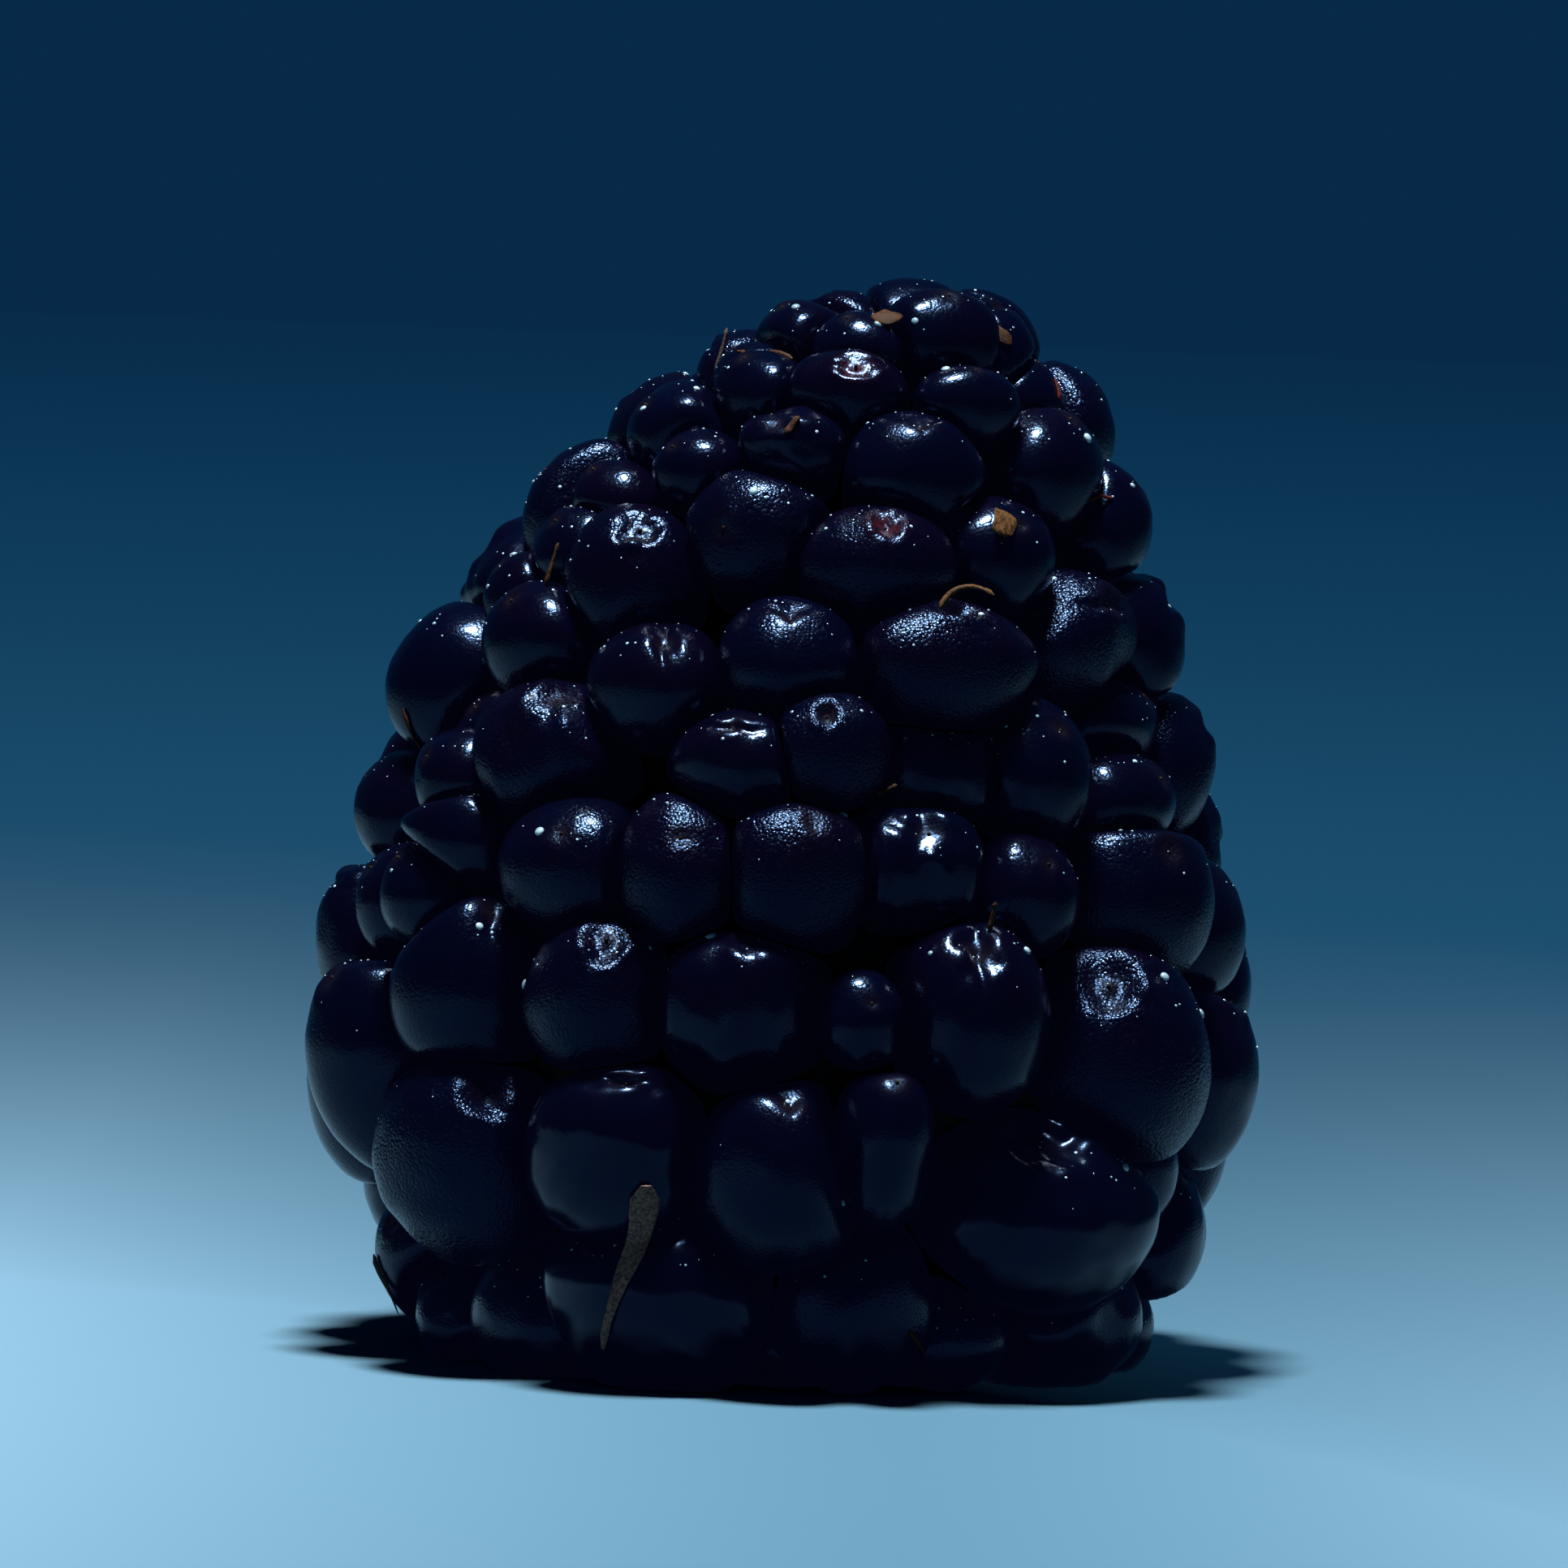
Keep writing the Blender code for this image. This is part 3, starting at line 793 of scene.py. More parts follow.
class NodeTree:
    """A node tree under construction, with short calls for nodes, links and named sockets."""

    def __init__(self, tree: bpy.types.NodeTree) -> None:
        """Start with the tree to fill."""
        self.tree = tree

    def node(self, kind: str, settings: dict[str, Any] | None = None, **inputs: Any) -> bpy.types.Node:
        """Add a node.

        Args:
            kind: the node's type.
            settings: its properties.
            **inputs: values or sockets for its inputs, by name with underscores for spaces.

        Returns:
            The node.
        """
        made = self.tree.nodes.new(kind)
        for key, value in (settings or {}).items():
            setattr(made, key, value)
        for key, value in inputs.items():
            self.feed(made, key.replace("_", " "), value)
        return made

    def feed(self, node: bpy.types.Node, name: str | int, value: Any) -> None:
        """Set or link one input of a node, by its name or its place."""
        if isinstance(name, int):
            socket = node.inputs[name]
        else:
            socket = next(one for one in node.inputs if one.name == name and one.enabled)
        if isinstance(value, bpy.types.NodeSocket):
            self.tree.links.new(value, socket)
        else:
            socket.default_value = value

    def socket(self, name: str, way: str, kind: str, value: Any = None) -> None:
        """Add an input or an output to the tree's own interface."""
        made = self.tree.interface.new_socket(name=name, in_out=way, socket_type=f"NodeSocket{kind}")
        if value is not None:
            made.default_value = value

    def maths(self, operation: str, *values: Any) -> bpy.types.NodeSocket:
        """The result of a Math node on values or sockets.

        Args:
            operation: what the node does.
            *values: its values or sockets, in order.

        Returns:
            The result's socket.
        """
        made = self.tree.nodes.new("ShaderNodeMath")
        made.operation = operation
        for place, value in enumerate(values):
            self.feed(made, place, value)
        return made.outputs[0]

    def mixed(self, factor: Any, low: Any, high: Any) -> bpy.types.NodeSocket:
        """The result of a colour Mix node.

        Args:
            factor: how far towards the second.
            low: the first colour.
            high: the second.

        Returns:
            The result's socket.
        """
        made = self.tree.nodes.new("ShaderNodeMix")
        made.data_type = "RGBA"
        for place, value in ((0, factor), (6, low), (7, high)):
            self.feed(made, place, value)
        return made.outputs[2]

    def attribute(self, name: str) -> bpy.types.NodeSocket:
        """A number that a material reads from each point of the mesh."""
        return self.node("ShaderNodeAttribute", {"attribute_name": name}).outputs["Fac"]

    def ranged(self, value: Any, low: float, high: float, to_low: float,
               to_high: float) -> bpy.types.NodeSocket:
        """A value mapped from one range to another and clamped.

        Args:
            value: the value or socket.
            low: the range's start.
            high: its end.
            to_low: the start of the new range.
            to_high: its end.

        Returns:
            The result's socket.
        """
        made = self.tree.nodes.new("ShaderNodeMapRange")
        for place, number in enumerate((value, low, high, to_low, to_high)):
            self.feed(made, place, number)
        return made.outputs[0]


def open_group(name: str, kind: str, inputs: dict[str, tuple[str, Any]],
               outputs: dict[str, str]) -> tuple[NodeTree, Any]:
    """A node group with named inputs and outputs.

    Args:
        name: the group's name.
        kind: the type of its tree.
        inputs: kind of socket and usual value of each input, by name.
        outputs: kind of socket of each output, by name.

    Returns:
        The group under construction, and the sockets that bring its inputs.
    """
    nodes = NodeTree(bpy.data.node_groups.new(name, kind))
    for key, (socket, value) in inputs.items():
        nodes.socket(key, "INPUT", socket, value)
    for key, socket in outputs.items():
        nodes.socket(key, "OUTPUT", socket)
    return nodes, nodes.node("NodeGroupInput").outputs


def build_grain_group() -> bpy.types.NodeTree:
    """Shader group of a fine grain: the height of small round cells, and a number of each cell's own.

    Returns:
        The group's tree.
    """
    dust_finer = 1.7
    nodes, given = open_group("skin_grain", "ShaderNodeTree", {
        "Vector": ("Vector", None), "Cell Size": ("Float", 0.1 * MM), "Fine Share": ("Float", 0.4),
    }, {"Height": "Float", "Cell": "Float"})
    scale = nodes.maths("DIVIDE", 1.0, given["Cell Size"])
    fine = nodes.maths("MULTIPLY", scale, dust_finer)
    cells = nodes.node("ShaderNodeTexVoronoi", Vector=given["Vector"], Scale=scale)
    dust = nodes.node("ShaderNodeTexNoise", Vector=given["Vector"], Scale=fine, Detail=1.0, Roughness=0.5)
    distance = cells.outputs["Distance"]
    domes = nodes.maths("MULTIPLY_ADD", nodes.maths("MULTIPLY", distance, distance), -1.0, 1.0)
    total = nodes.maths("MULTIPLY_ADD", dust.outputs["Fac"], given["Fine Share"], domes)
    out = nodes.node("NodeGroupOutput")
    nodes.feed(out, "Height", total)
    split = nodes.node("ShaderNodeSeparateColor", Color=cells.outputs["Color"])
    nodes.feed(out, "Cell", split.outputs["Red"])
    return nodes.tree


def build_mottle_group() -> bpy.types.NodeTree:
    """Shader group of a slow change between two colours, with the mask that drives it.

    Returns:
        The group's tree.
    """
    all_one, all_other = 0.35, 0.65
    nodes, given = open_group("mottle", "ShaderNodeTree", {
        "Vector": ("Vector", None), "Patch Size": ("Float", 1.0 * MM), "Shift": ("Float", 0.0),
        "Colour A": ("Color", (0, 0, 0, 1)), "Colour B": ("Color", (1, 1, 1, 1)),
    }, {"Colour": "Color", "Mask": "Float"})
    scale = nodes.maths("DIVIDE", 1.0, given["Patch Size"])
    patches = nodes.node("ShaderNodeTexNoise", Vector=given["Vector"], Scale=scale, Detail=3.0,
                         Roughness=0.6)
    moved = nodes.maths("ADD", patches.outputs["Fac"], given["Shift"])
    mask = nodes.ranged(moved, all_one, all_other, 0.0, 1.0)
    out = nodes.node("NodeGroupOutput")
    nodes.feed(out, "Colour", nodes.mixed(mask, given["Colour A"], given["Colour B"]))
    nodes.feed(out, "Mask", mask)
    return nodes.tree


@dataclass(frozen=True)
class Effects:
    """The shader groups that several finishes share."""

    grain: bpy.types.NodeTree
    mottle: bpy.types.NodeTree


def new_material(name: str) -> tuple[bpy.types.Material, NodeTree, bpy.types.Node]:
    """An empty material with its node tree and its Principled shader.

    Args:
        name: the material's name.

    Returns:
        The material, its tree and the shader.
    """
    material = bpy.data.materials.new(name)
    material.use_nodes = True
    nodes = NodeTree(material.node_tree)
    return material, nodes, material.node_tree.nodes["Principled BSDF"]


def place_group(nodes: NodeTree, group: bpy.types.NodeTree, **inputs: Any) -> bpy.types.Node:
    """Put a shader group in a tree with its own values.

    Args:
        nodes: the material's tree.
        group: the group.
        **inputs: values or sockets, by name with underscores for spaces.

    Returns:
        The group's node.
    """
    made = nodes.node("ShaderNodeGroup", {"node_tree": group})
    for key, value in inputs.items():
        nodes.feed(made, key.replace("_", " "), value)
    return made


@dataclass(frozen=True)
class RipeSkin:
    """Skin of a ripe drupelet: near black with a blue cast, a grained surface under a wet film.

    Its emission is painted light: a faint blue that lifts even the shaded skin, brighter near the foot where
    it stands in for the floor's light, in place of the light that the juice scatters back out of the flesh.
    """

    deep: tuple[float, float, float] = (0.0002, 0.0004, 0.0030)
    wine: tuple[float, float, float] = (0.0006, 0.0002, 0.0022)
    patch_size: float = 1.3 * MM
    tone_reach: float = 0.3      # how far a drupelet's own tone moves it from the one colour to the other
    tone_shift: float = 0.2
    scar: tuple[float, float, float] = (0.003, 0.0015, 0.0015)
    scar_cover: float = 0.7
    scar_roughness: float = 0.15     # what the scar adds to the skin's roughness
    stain: tuple[float, float, float] = (0.055, 0.008, 0.006)
    speck_size: float = 0.12 * MM
    # Painted light: the skin's faint blue emission, and near the foot a brighter one that stands in for the
    # floor's light.
    glow: tuple[float, float, float] = (0.0004, 0.0004, 0.0025)
    painted_foot_glow: tuple[float, float, float] = (0.0005, 0.0008, 0.0046)
    painted_foot_glow_rise: float = 11 * MM
    smooth_roughness: float = 0.18
    grain_roughness: float = 0.13
    uneven_roughness: float = 0.16
    grain_size: float = 0.085 * MM
    grain_height: float = 0.016 * MM
    fine_share: float = 0.45
    film: float = 0.08
    film_roughness: float = 0.08
    gloss: float = 0.165
    gloss_tint: tuple[float, float, float] = (0.15, 0.42, 0.95)

    def build(self, effects: Effects) -> bpy.types.Material:
        """The material.

        Args:
            effects: the shader groups that the finishes share.

        Returns:
            The material.
        """
        material, nodes, shader = new_material("ripe_skin_wet")
        place = nodes.node("ShaderNodeTexCoord").outputs["Object"]
        tone, scar, stain, share = (nodes.attribute(name) for name in ("tone", "scar", "stain", "grain"))

        shift = nodes.maths("SUBTRACT", nodes.maths("MULTIPLY", tone, self.tone_reach), self.tone_shift)
        mottle = place_group(nodes, effects.mottle, Vector=place, Patch_Size=self.patch_size, Shift=shift,
                             Colour_A=(*self.deep, 1), Colour_B=(*self.wine, 1))
        browned = nodes.maths("MULTIPLY", scar, self.scar_cover)
        colour = nodes.mixed(browned, mottle.outputs["Colour"], (*self.scar, 1))
        specks = place_group(nodes, effects.mottle, Vector=place, Patch_Size=self.speck_size)
        reddened = nodes.maths("MULTIPLY", stain, specks.outputs["Mask"])
        nodes.feed(shader, "Base Color", nodes.mixed(reddened, colour, (*self.stain, 1)))

        rough = nodes.ranged(share, 0.0, 1.0, self.smooth_roughness, self.grain_roughness)
        grain = place_group(nodes, effects.grain, Vector=place, Cell_Size=self.grain_size,
                            Fine_Share=self.fine_share)
        uneven = nodes.maths("MULTIPLY", share, self.uneven_roughness)
        speckled = nodes.maths("MULTIPLY_ADD", grain.outputs["Cell"], uneven, rough)
        nodes.feed(shader, "Roughness", nodes.maths("MULTIPLY_ADD", scar, self.scar_roughness, speckled))
        bump = nodes.node("ShaderNodeBump", Strength=1.0, Distance=self.grain_height,
                          Height=nodes.maths("MULTIPLY", grain.outputs["Height"], share))
        nodes.feed(shader, "Normal", bump.outputs["Normal"])

        film = nodes.maths("MULTIPLY_ADD", share, -self.film, self.film)
        nodes.feed(shader, "Coat Weight", nodes.maths("MAXIMUM", film, 0.0))
        nodes.feed(shader, "Coat Roughness", self.film_roughness)
        nodes.feed(shader, "Specular IOR Level", self.gloss)
        nodes.feed(shader, "Specular Tint", (*self.gloss_tint, 1))

        # Painted light: the skin glows faint blue, more strongly near the foot, where it stands in for light
        # from the floor.
        rise = nodes.node("ShaderNodeSeparateXYZ", Vector=place).outputs["Z"]
        raised = nodes.ranged(rise, 0, self.painted_foot_glow_rise, 0, 1)
        nodes.feed(shader, "Emission Color", nodes.mixed(raised, (*self.painted_foot_glow, 1), (*self.glow, 1)))
        nodes.feed(shader, "Emission Strength", 1.0)
        return material


class Finish(Enum):
    """The colours of dried fibre, by their materials' names."""

    BROWN = "dried_brown"
    GOLDEN = "dried_golden"
    GREY = "dried_grey"
    TAN = "dried_tan_painted_light"
    RED = "dried_red"
    NUB = "dried_nub"


@dataclass(frozen=True)
class DriedFibre:
    """A dead plant fibre: mottled with dark, grained and matt."""

    finish: Finish
    light: tuple[float, float, float]
    dark: tuple[float, float, float]
    roughness: float = 0.62
    light_roughness: float = 0.8
    gloss: float = 0.08
    patch_size: float = 0.09 * MM
    grain_size: float = 0.05 * MM
    grain_height: float = 0.008 * MM
    grain_strength: float = 0.8
    fine_share: float = 0.5

    def build(self, effects: Effects) -> bpy.types.Material:
        """The material.

        Args:
            effects: the shader groups that the finishes share.

        Returns:
            The material.
        """
        material, nodes, shader = new_material(self.finish.value)
        place = nodes.node("ShaderNodeTexCoord").outputs["Object"]
        mottle = place_group(nodes, effects.mottle, Vector=place, Patch_Size=self.patch_size,
                             Colour_A=(*self.dark, 1), Colour_B=(*self.light, 1))
        rough = nodes.ranged(mottle.outputs["Mask"], 0, 1, self.roughness, self.light_roughness)
        grain = place_group(nodes, effects.grain, Vector=place, Cell_Size=self.grain_size,
                            Fine_Share=self.fine_share)
        bump = nodes.node("ShaderNodeBump", Strength=self.grain_strength, Distance=self.grain_height,
                          Height=grain.outputs["Height"])
        nodes.feed(shader, "Base Color", mottle.outputs["Colour"])
        nodes.feed(shader, "Roughness", rough)
        nodes.feed(shader, "Specular IOR Level", self.gloss)
        nodes.feed(shader, "Normal", bump.outputs["Normal"])
        return material


FIBRES = (
    DriedFibre(Finish.BROWN, (0.040, 0.015, 0.006), (0.008, 0.004, 0.002)),
    DriedFibre(Finish.GOLDEN, (0.080, 0.036, 0.011), (0.016, 0.007, 0.003)),
    DriedFibre(Finish.GREY, (0.050, 0.034, 0.030), (0.009, 0.008, 0.009)),
    # The filament's own tan, made paler than the other fibres as painted light, since it lies in the shade
    # under the drupelet above it.
    DriedFibre(Finish.TAN, (0.170, 0.088, 0.066), (0.018, 0.016, 0.015)),
    DriedFibre(Finish.RED, (0.055, 0.005, 0.004), (0.016, 0.002, 0.002)),
    DriedFibre(Finish.NUB, (0.012, 0.005, 0.003), (0.003, 0.001, 0.001)),
)


@dataclass(frozen=True)
class DewDrop:
    """A drop of dew: a wet bead whose pale, milky colour is a painted glint, so that it shows as a bright
    dot where the light from above falls on it.
    """

    # Painted glints: pale base colours that make each bead a bright dot where lit.
    colour: tuple[float, float, float] = (0.26, 0.37, 0.42)
    painted_faint_glint: tuple[float, float, float] = (0.10, 0.17, 0.21)
    patch_size: float = 0.8 * MM
    roughness: float = 0.18
    faint_roughness: float = 0.24
    gloss: float = 1.0
    gloss_tint: tuple[float, float, float] = (0.7, 0.9, 1.0)

    def build(self, effects: Effects) -> bpy.types.Material:
        """The material.

        Args:
            effects: the shader groups that the finishes share.

        Returns:
            The material.
        """
        material, nodes, shader = new_material("dew_drop_painted_glint")
        place = nodes.node("ShaderNodeTexCoord").outputs["Object"]
        mottle = place_group(nodes, effects.mottle, Vector=place, Patch_Size=self.patch_size,
                             Colour_A=(*self.colour, 1), Colour_B=(*self.painted_faint_glint, 1))
        rough = nodes.ranged(mottle.outputs["Mask"], 0, 1, self.roughness, self.faint_roughness)
        # Painted glint in the beads' base colour.
        nodes.feed(shader, "Base Color", mottle.outputs["Colour"])
        nodes.feed(shader, "Roughness", rough)
        nodes.feed(shader, "Specular IOR Level", self.gloss)
        nodes.feed(shader, "Specular Tint", (*self.gloss_tint, 1))
        return material


@dataclass
class Stage:
    """The pale floor, the small soft light overhead, the dim room and the camera."""

    floor_radius: float = 1.5
    floor_corners: int = 96
    # Painted light on the floor: darker in the middle as painted shade, paler to either side as painted
    # light, and far off a painted glow.
    middle_colour_with_painted_shade: tuple[float, float, float] = (0.046, 0.100, 0.140)
    painted_light_side_colour: tuple[float, float, float] = (0.092, 0.162, 0.215)   # painted light: how pale the floor gets to either side
    side_centre: float = 3 * MM
    side_reach: float = 24.0 * MM
    side_power: float = 1.5
    room_colour: tuple[float, float, float] = (0.0024, 0.0235, 0.066)
    painted_light_centre: tuple[float, float, float] = (-12 * MM, -45 * MM, 0.0)
    painted_falloff_from: float = 0.045     # distances from the centre of the painted light between which the floor's colour darkens to black, a painted falloff
    painted_falloff_to: float = 0.245
    painted_falloff_power: float = 0.65
    painted_falloff_slant: float = 0.7      # the painted falloff comes nearer on the viewer's right
    painted_glow_reach: float = 1.4
    # The far floor's emission colours: a painted glow that stands in for the lamp's light far off.
    painted_glow_colours: tuple[tuple[float, tuple[float, float, float]], ...] = (
        (0.12, (0.013, 0.082, 0.165)), (0.29, (0.0055, 0.048, 0.107)), (0.60, (0.003, 0.033, 0.085)))
    light_height: float = 200 * MM
    light_forward: float = 25 * MM
    light_aside: float = -9 * MM
    light_radius: float = 20.0 * MM
    light_power: float = 1.62
    light_colour: tuple[float, float, float] = (0.93, 0.98, 1.0)
    camera_distance: float = 300 * MM
    camera_rise: float = 3.1
    camera_roll: float = 2.0
    frame_width: float = 39.3 * MM
    sensor: float = 36.0
    clip_from: float = 0.01
    clip_to: float = 10.0
    target: tuple[float, float, float] = (-0.277 * MM, 0.775 * MM, 14.317 * MM)

    def build_floor(self) -> bpy.types.Object:
        """The floor, with painted light: paler to either side, darker in the middle as painted shade, and
        darkening far from the berry into a painted glow of the room's colour.

        Returns:
            The staged floor.
        """
        turns = np.linspace(0, 2 * math.pi, self.floor_corners, endpoint=False)
        rim = np.stack([np.cos(turns), np.sin(turns), np.zeros_like(turns)], 1) * self.floor_radius
        floor = mesh_object("floor", rim, [tuple(range(len(rim)))])
        material, nodes, shader = new_material("floor_painted_light")
        place = nodes.node("ShaderNodeTexCoord").outputs["Object"]
        black = (0.0, 0.0, 0.0, 1)

        # Painted falloff: the floor's colour darkens to black away from the centre of the painted light.
        from_painted_light = nodes.node("ShaderNodeVectorMath", {"operation": "DISTANCE"})
        nodes.feed(from_painted_light, 0, place)
        nodes.feed(from_painted_light, 1, self.painted_light_centre)
        sideways = nodes.node("ShaderNodeSeparateXYZ", Vector=place).outputs["X"]
        slant = nodes.maths("MULTIPLY", sideways, self.painted_falloff_slant)
        slanted = nodes.maths("ADD", from_painted_light.outputs["Value"], slant)
        faded = nodes.ranged(slanted, self.painted_falloff_from, self.painted_falloff_to, 0, 1)
        painted_falloff = nodes.maths("POWER", faded, self.painted_falloff_power)
        # Painted shade in the middle of the near floor, painted light to either side.
        aside = nodes.maths("ABSOLUTE", nodes.maths("SUBTRACT", sideways, self.side_centre))
        painted_paler_sides = nodes.maths("POWER", nodes.ranged(aside, 0, self.side_reach, 0, 1), self.side_power)
        near = nodes.mixed(painted_paler_sides, (*self.middle_colour_with_painted_shade, 1), (*self.painted_light_side_colour, 1))
        nodes.feed(shader, "Base Color", nodes.mixed(painted_falloff, near, black))

        # Painted glow: the far floor emits the room's colours where the floor's own colour has faded.
        away = nodes.node("ShaderNodeVectorMath", {"operation": "LENGTH"})
        nodes.feed(away, 0, place)
        far = nodes.ranged(away.outputs["Value"], 0, self.painted_glow_reach, 0, 1)
        ramp = nodes.node("ShaderNodeValToRGB", Fac=far)
        ramp.color_ramp.interpolation = "B_SPLINE"
        stops = ramp.color_ramp.elements
        stops[0].position, stops[0].color = self.painted_glow_colours[0][0], (*self.painted_glow_colours[0][1], 1)
        stops[1].position, stops[1].color = 1.0, (*self.room_colour, 1)
        for position, colour in self.painted_glow_colours[1:]:
            stops.new(position).color = (*colour, 1)
        nodes.feed(shader, "Emission Color", nodes.mixed(painted_falloff, black, ramp.outputs["Color"]))
        nodes.feed(shader, "Emission Strength", 1.0)
        nodes.feed(shader, "Roughness", 1.0)
        nodes.feed(shader, "Specular IOR Level", 0.0)
        floor.data.materials.append(material)
        return floor

    def build_light(self) -> None:
        """One small round light above the berry."""
        light = bpy.data.lights.new("overhead_light", "AREA")
        light.shape = "DISK"
        light.size = 2 * self.light_radius
        light.energy = self.light_power
        light.color = self.light_colour
        lamp = bpy.data.objects.new("overhead_light", light)
        lamp.location = (self.light_aside, -self.light_forward, self.light_height)
        bpy.context.scene.collection.objects.link(lamp)

    def build_room(self) -> None:
        """The dim blue room."""
        world = bpy.data.worlds.new("dim_room")
        world.use_nodes = True
        background = world.node_tree.nodes["Background"]
        background.inputs["Color"].default_value = (*self.room_colour, 1)
        background.inputs["Strength"].default_value = 1.0
        bpy.context.scene.world = world

    def build_camera(self) -> None:
        """The camera: low in front of the berry, long in focus, and rolled a little."""
        rise, roll = math.radians(self.camera_rise), math.radians(self.camera_roll)
        ahead = Vector((0, math.cos(rise), -math.sin(rise)))
        right = Vector((1, 0, 0))
        up = right.cross(ahead)
        across = math.cos(roll) * right + math.sin(roll) * up
        above = math.cos(roll) * up - math.sin(roll) * right
        data = bpy.data.cameras.new("camera")
        data.sensor_width = self.sensor
        data.lens = self.sensor * self.camera_distance / self.frame_width
        data.clip_start, data.clip_end = self.clip_from, self.clip_to
        camera = bpy.data.objects.new("camera", data)
        turn = Matrix((across, above, -ahead)).transposed().to_4x4()
        camera.matrix_world = Matrix.Translation(Vector(self.target) - ahead * self.camera_distance) @ turn
        bpy.context.scene.collection.objects.link(camera)
        bpy.context.scene.camera = camera

    def build(self) -> None:
        """Everything round the berry."""
        self.build_floor()
        self.build_light()
        self.build_room()
        self.build_camera()
        bpy.context.scene.view_settings.view_transform = "Standard"


class Thread(Enum):
    """The kinds of dried thing that the flower left, by how their thickness runs from root to tip."""

    HAIR = "hair"            # slender, with a small knob at its tip
    RIBBON = "ribbon"        # broad and flat near its root, then a thin tail
    FLAKE = "flake"          # a short flat scale
    STUB = "stub"            # a blunt broken end


@dataclass(frozen=True)
class ThreadForm:
    """How thick a kind of thread is along its length, in shares of its thickness and of its length."""

    sides: int
    flatness: float
    root: float                  # thickness at the root
    taper: float = 0.0           # what it loses as far as the tip
    knob: float = 0.0            # a swelling, and where it is
    knob_at: float = 0.0
    knob_width: float = 1.0
    blade: float = 0.0           # what a broad root has over its tail, and where the tail starts
    tail_from: float = 1.0
    tail_blend: float = 1.0
    belly: float = 0.0           # a round swelling of the whole length
    belly_skew: float = 1.0
    belly_power: float = 1.0
    root_round: float = 0.04     # how much of the length the rounded ends take up
    root_least: float = 0.15     # and how thick they are at their very ends, squared
    tip_round: float = 0.05
    tip_least: float = 0.12

    def thickness(self, along: float) -> float:
        """Thickness at a share of the length, from 0 at the root to 1 at the tip.

        Args:
            along: the share of the length.

        Returns:
            The thickness, as a share of the thread's own.
        """
        root_end = math.sqrt(max(along, 0.0) / self.root_round + self.root_least)
        tip_end = math.sqrt(max(1 - along, 0.0) / self.tip_round + self.tip_least)
        knob = self.knob * math.exp(-((along - self.knob_at) / self.knob_width)**2)
        blade = self.blade / (1 + math.exp((along - self.tail_from) / self.tail_blend))
        belly = self.belly * math.sin(math.pi * min(along * self.belly_skew, 1.0))**self.belly_power
        return min(1.0, root_end, tip_end) * (self.root - self.taper * along + knob + blade + belly)


THREAD_FORMS = {
    Thread.HAIR: ThreadForm(8, 0.8, 1.15, taper=0.62, knob=0.5, knob_at=0.93, knob_width=0.06),
    Thread.RIBBON: ThreadForm(14, 0.24, 0.34, knob=0.22, knob_at=0.12, knob_width=0.12, blade=0.66,
                              tail_from=0.62, tail_blend=0.07),
    Thread.FLAKE: ThreadForm(14, 0.22, 0.35, belly=1.0, belly_skew=1.15, belly_power=0.8),
    Thread.STUB: ThreadForm(10, 0.7, 1.1, taper=0.35),
}


@dataclass(frozen=True)
class Style:
    """One dried thread: the CAD node that it stands for, its kind, and how it lies on the skin."""

    node: str
    kind: Thread
    heading: float       # degrees clockwise from up, seen from outside
    length: float
    thickness: float
    lift: float = 20.0   # degrees away from the skin
    curl: float = 0.0    # degrees that the heading turns through along the thread
    finish: Finish = Finish.BROWN


STYLES = (
    Style("withered_filament", Thread.RIBBON, 187, 4.2, 0.62, 6, 16, Finish.TAN),
    Style("dried_style_curled", Thread.HAIR, 20, 1.7, 0.15, 22, 130, Finish.GOLDEN),
    Style("dried_style_flake", Thread.FLAKE, -30, 0.8, 0.80, 22, 0, Finish.GOLDEN),
    Style("dried_style_side_hair", Thread.HAIR, -14, 2.0, 0.20, 34, 10),
    Style("dried_style_side_stub", Thread.STUB, -14, 0.9, 0.24, 10),
    Style("dried_style_shoulder", Thread.HAIR, 8, 1.1, 0.15, 16),
    Style("dried_style_pale", Thread.HAIR, -6, 1.1, 0.18, 40, 0, Finish.GREY),
    Style("dried_style_neck", Thread.HAIR, 258, 1.6, 0.12, 8),
    Style("dried_style_tip_left", Thread.FLAKE, -20, 0.7, 0.60, 24),
    Style("dried_style_tip_right", Thread.RIBBON, -20, 1.2, 0.30, 18),
    Style("dried_style_tip_side", Thread.STUB, 20, 0.6, 0.14, 14, 0, Finish.RED),
    Style("dried_style_front_dot", Thread.STUB, 30, 0.5, 0.22, 12),
    Style("dried_style_arc", Thread.HAIR, 78, 1.1, 0.13, 10, 40, Finish.RED),
    Style("dried_style_hollow", Thread.HAIR, 66, 0.6, 0.12, 12),
    Style("dried_style_waist", Thread.HAIR, 6, 0.7, 0.15, 26),
    Style("dried_style_foot", Thread.HAIR, 140, 0.8, 0.13, 6),
    Style("dried_style_foot_strip", Thread.RIBBON, 140, 1.8, 0.28, 4, 14),
    Style("dried_style_rear_1", Thread.HAIR, 20, 1.3, 0.16, 24, 60, Finish.GOLDEN),
    Style("dried_style_rear_2", Thread.HAIR, -30, 1.6, 0.17, 20, -50),
    Style("dried_style_rear_3", Thread.STUB, 15, 1.0, 0.20, 26),
    Style("dried_style_rear_4", Thread.RIBBON, 170, 1.8, 0.28, 8, 30, Finish.GREY),
    Style("dried_style_rear_5", Thread.HAIR, 40, 1.1, 0.16, 18),
    Style("dried_style_rear_6", Thread.HAIR, 110, 1.5, 0.17, 14, -40),
)


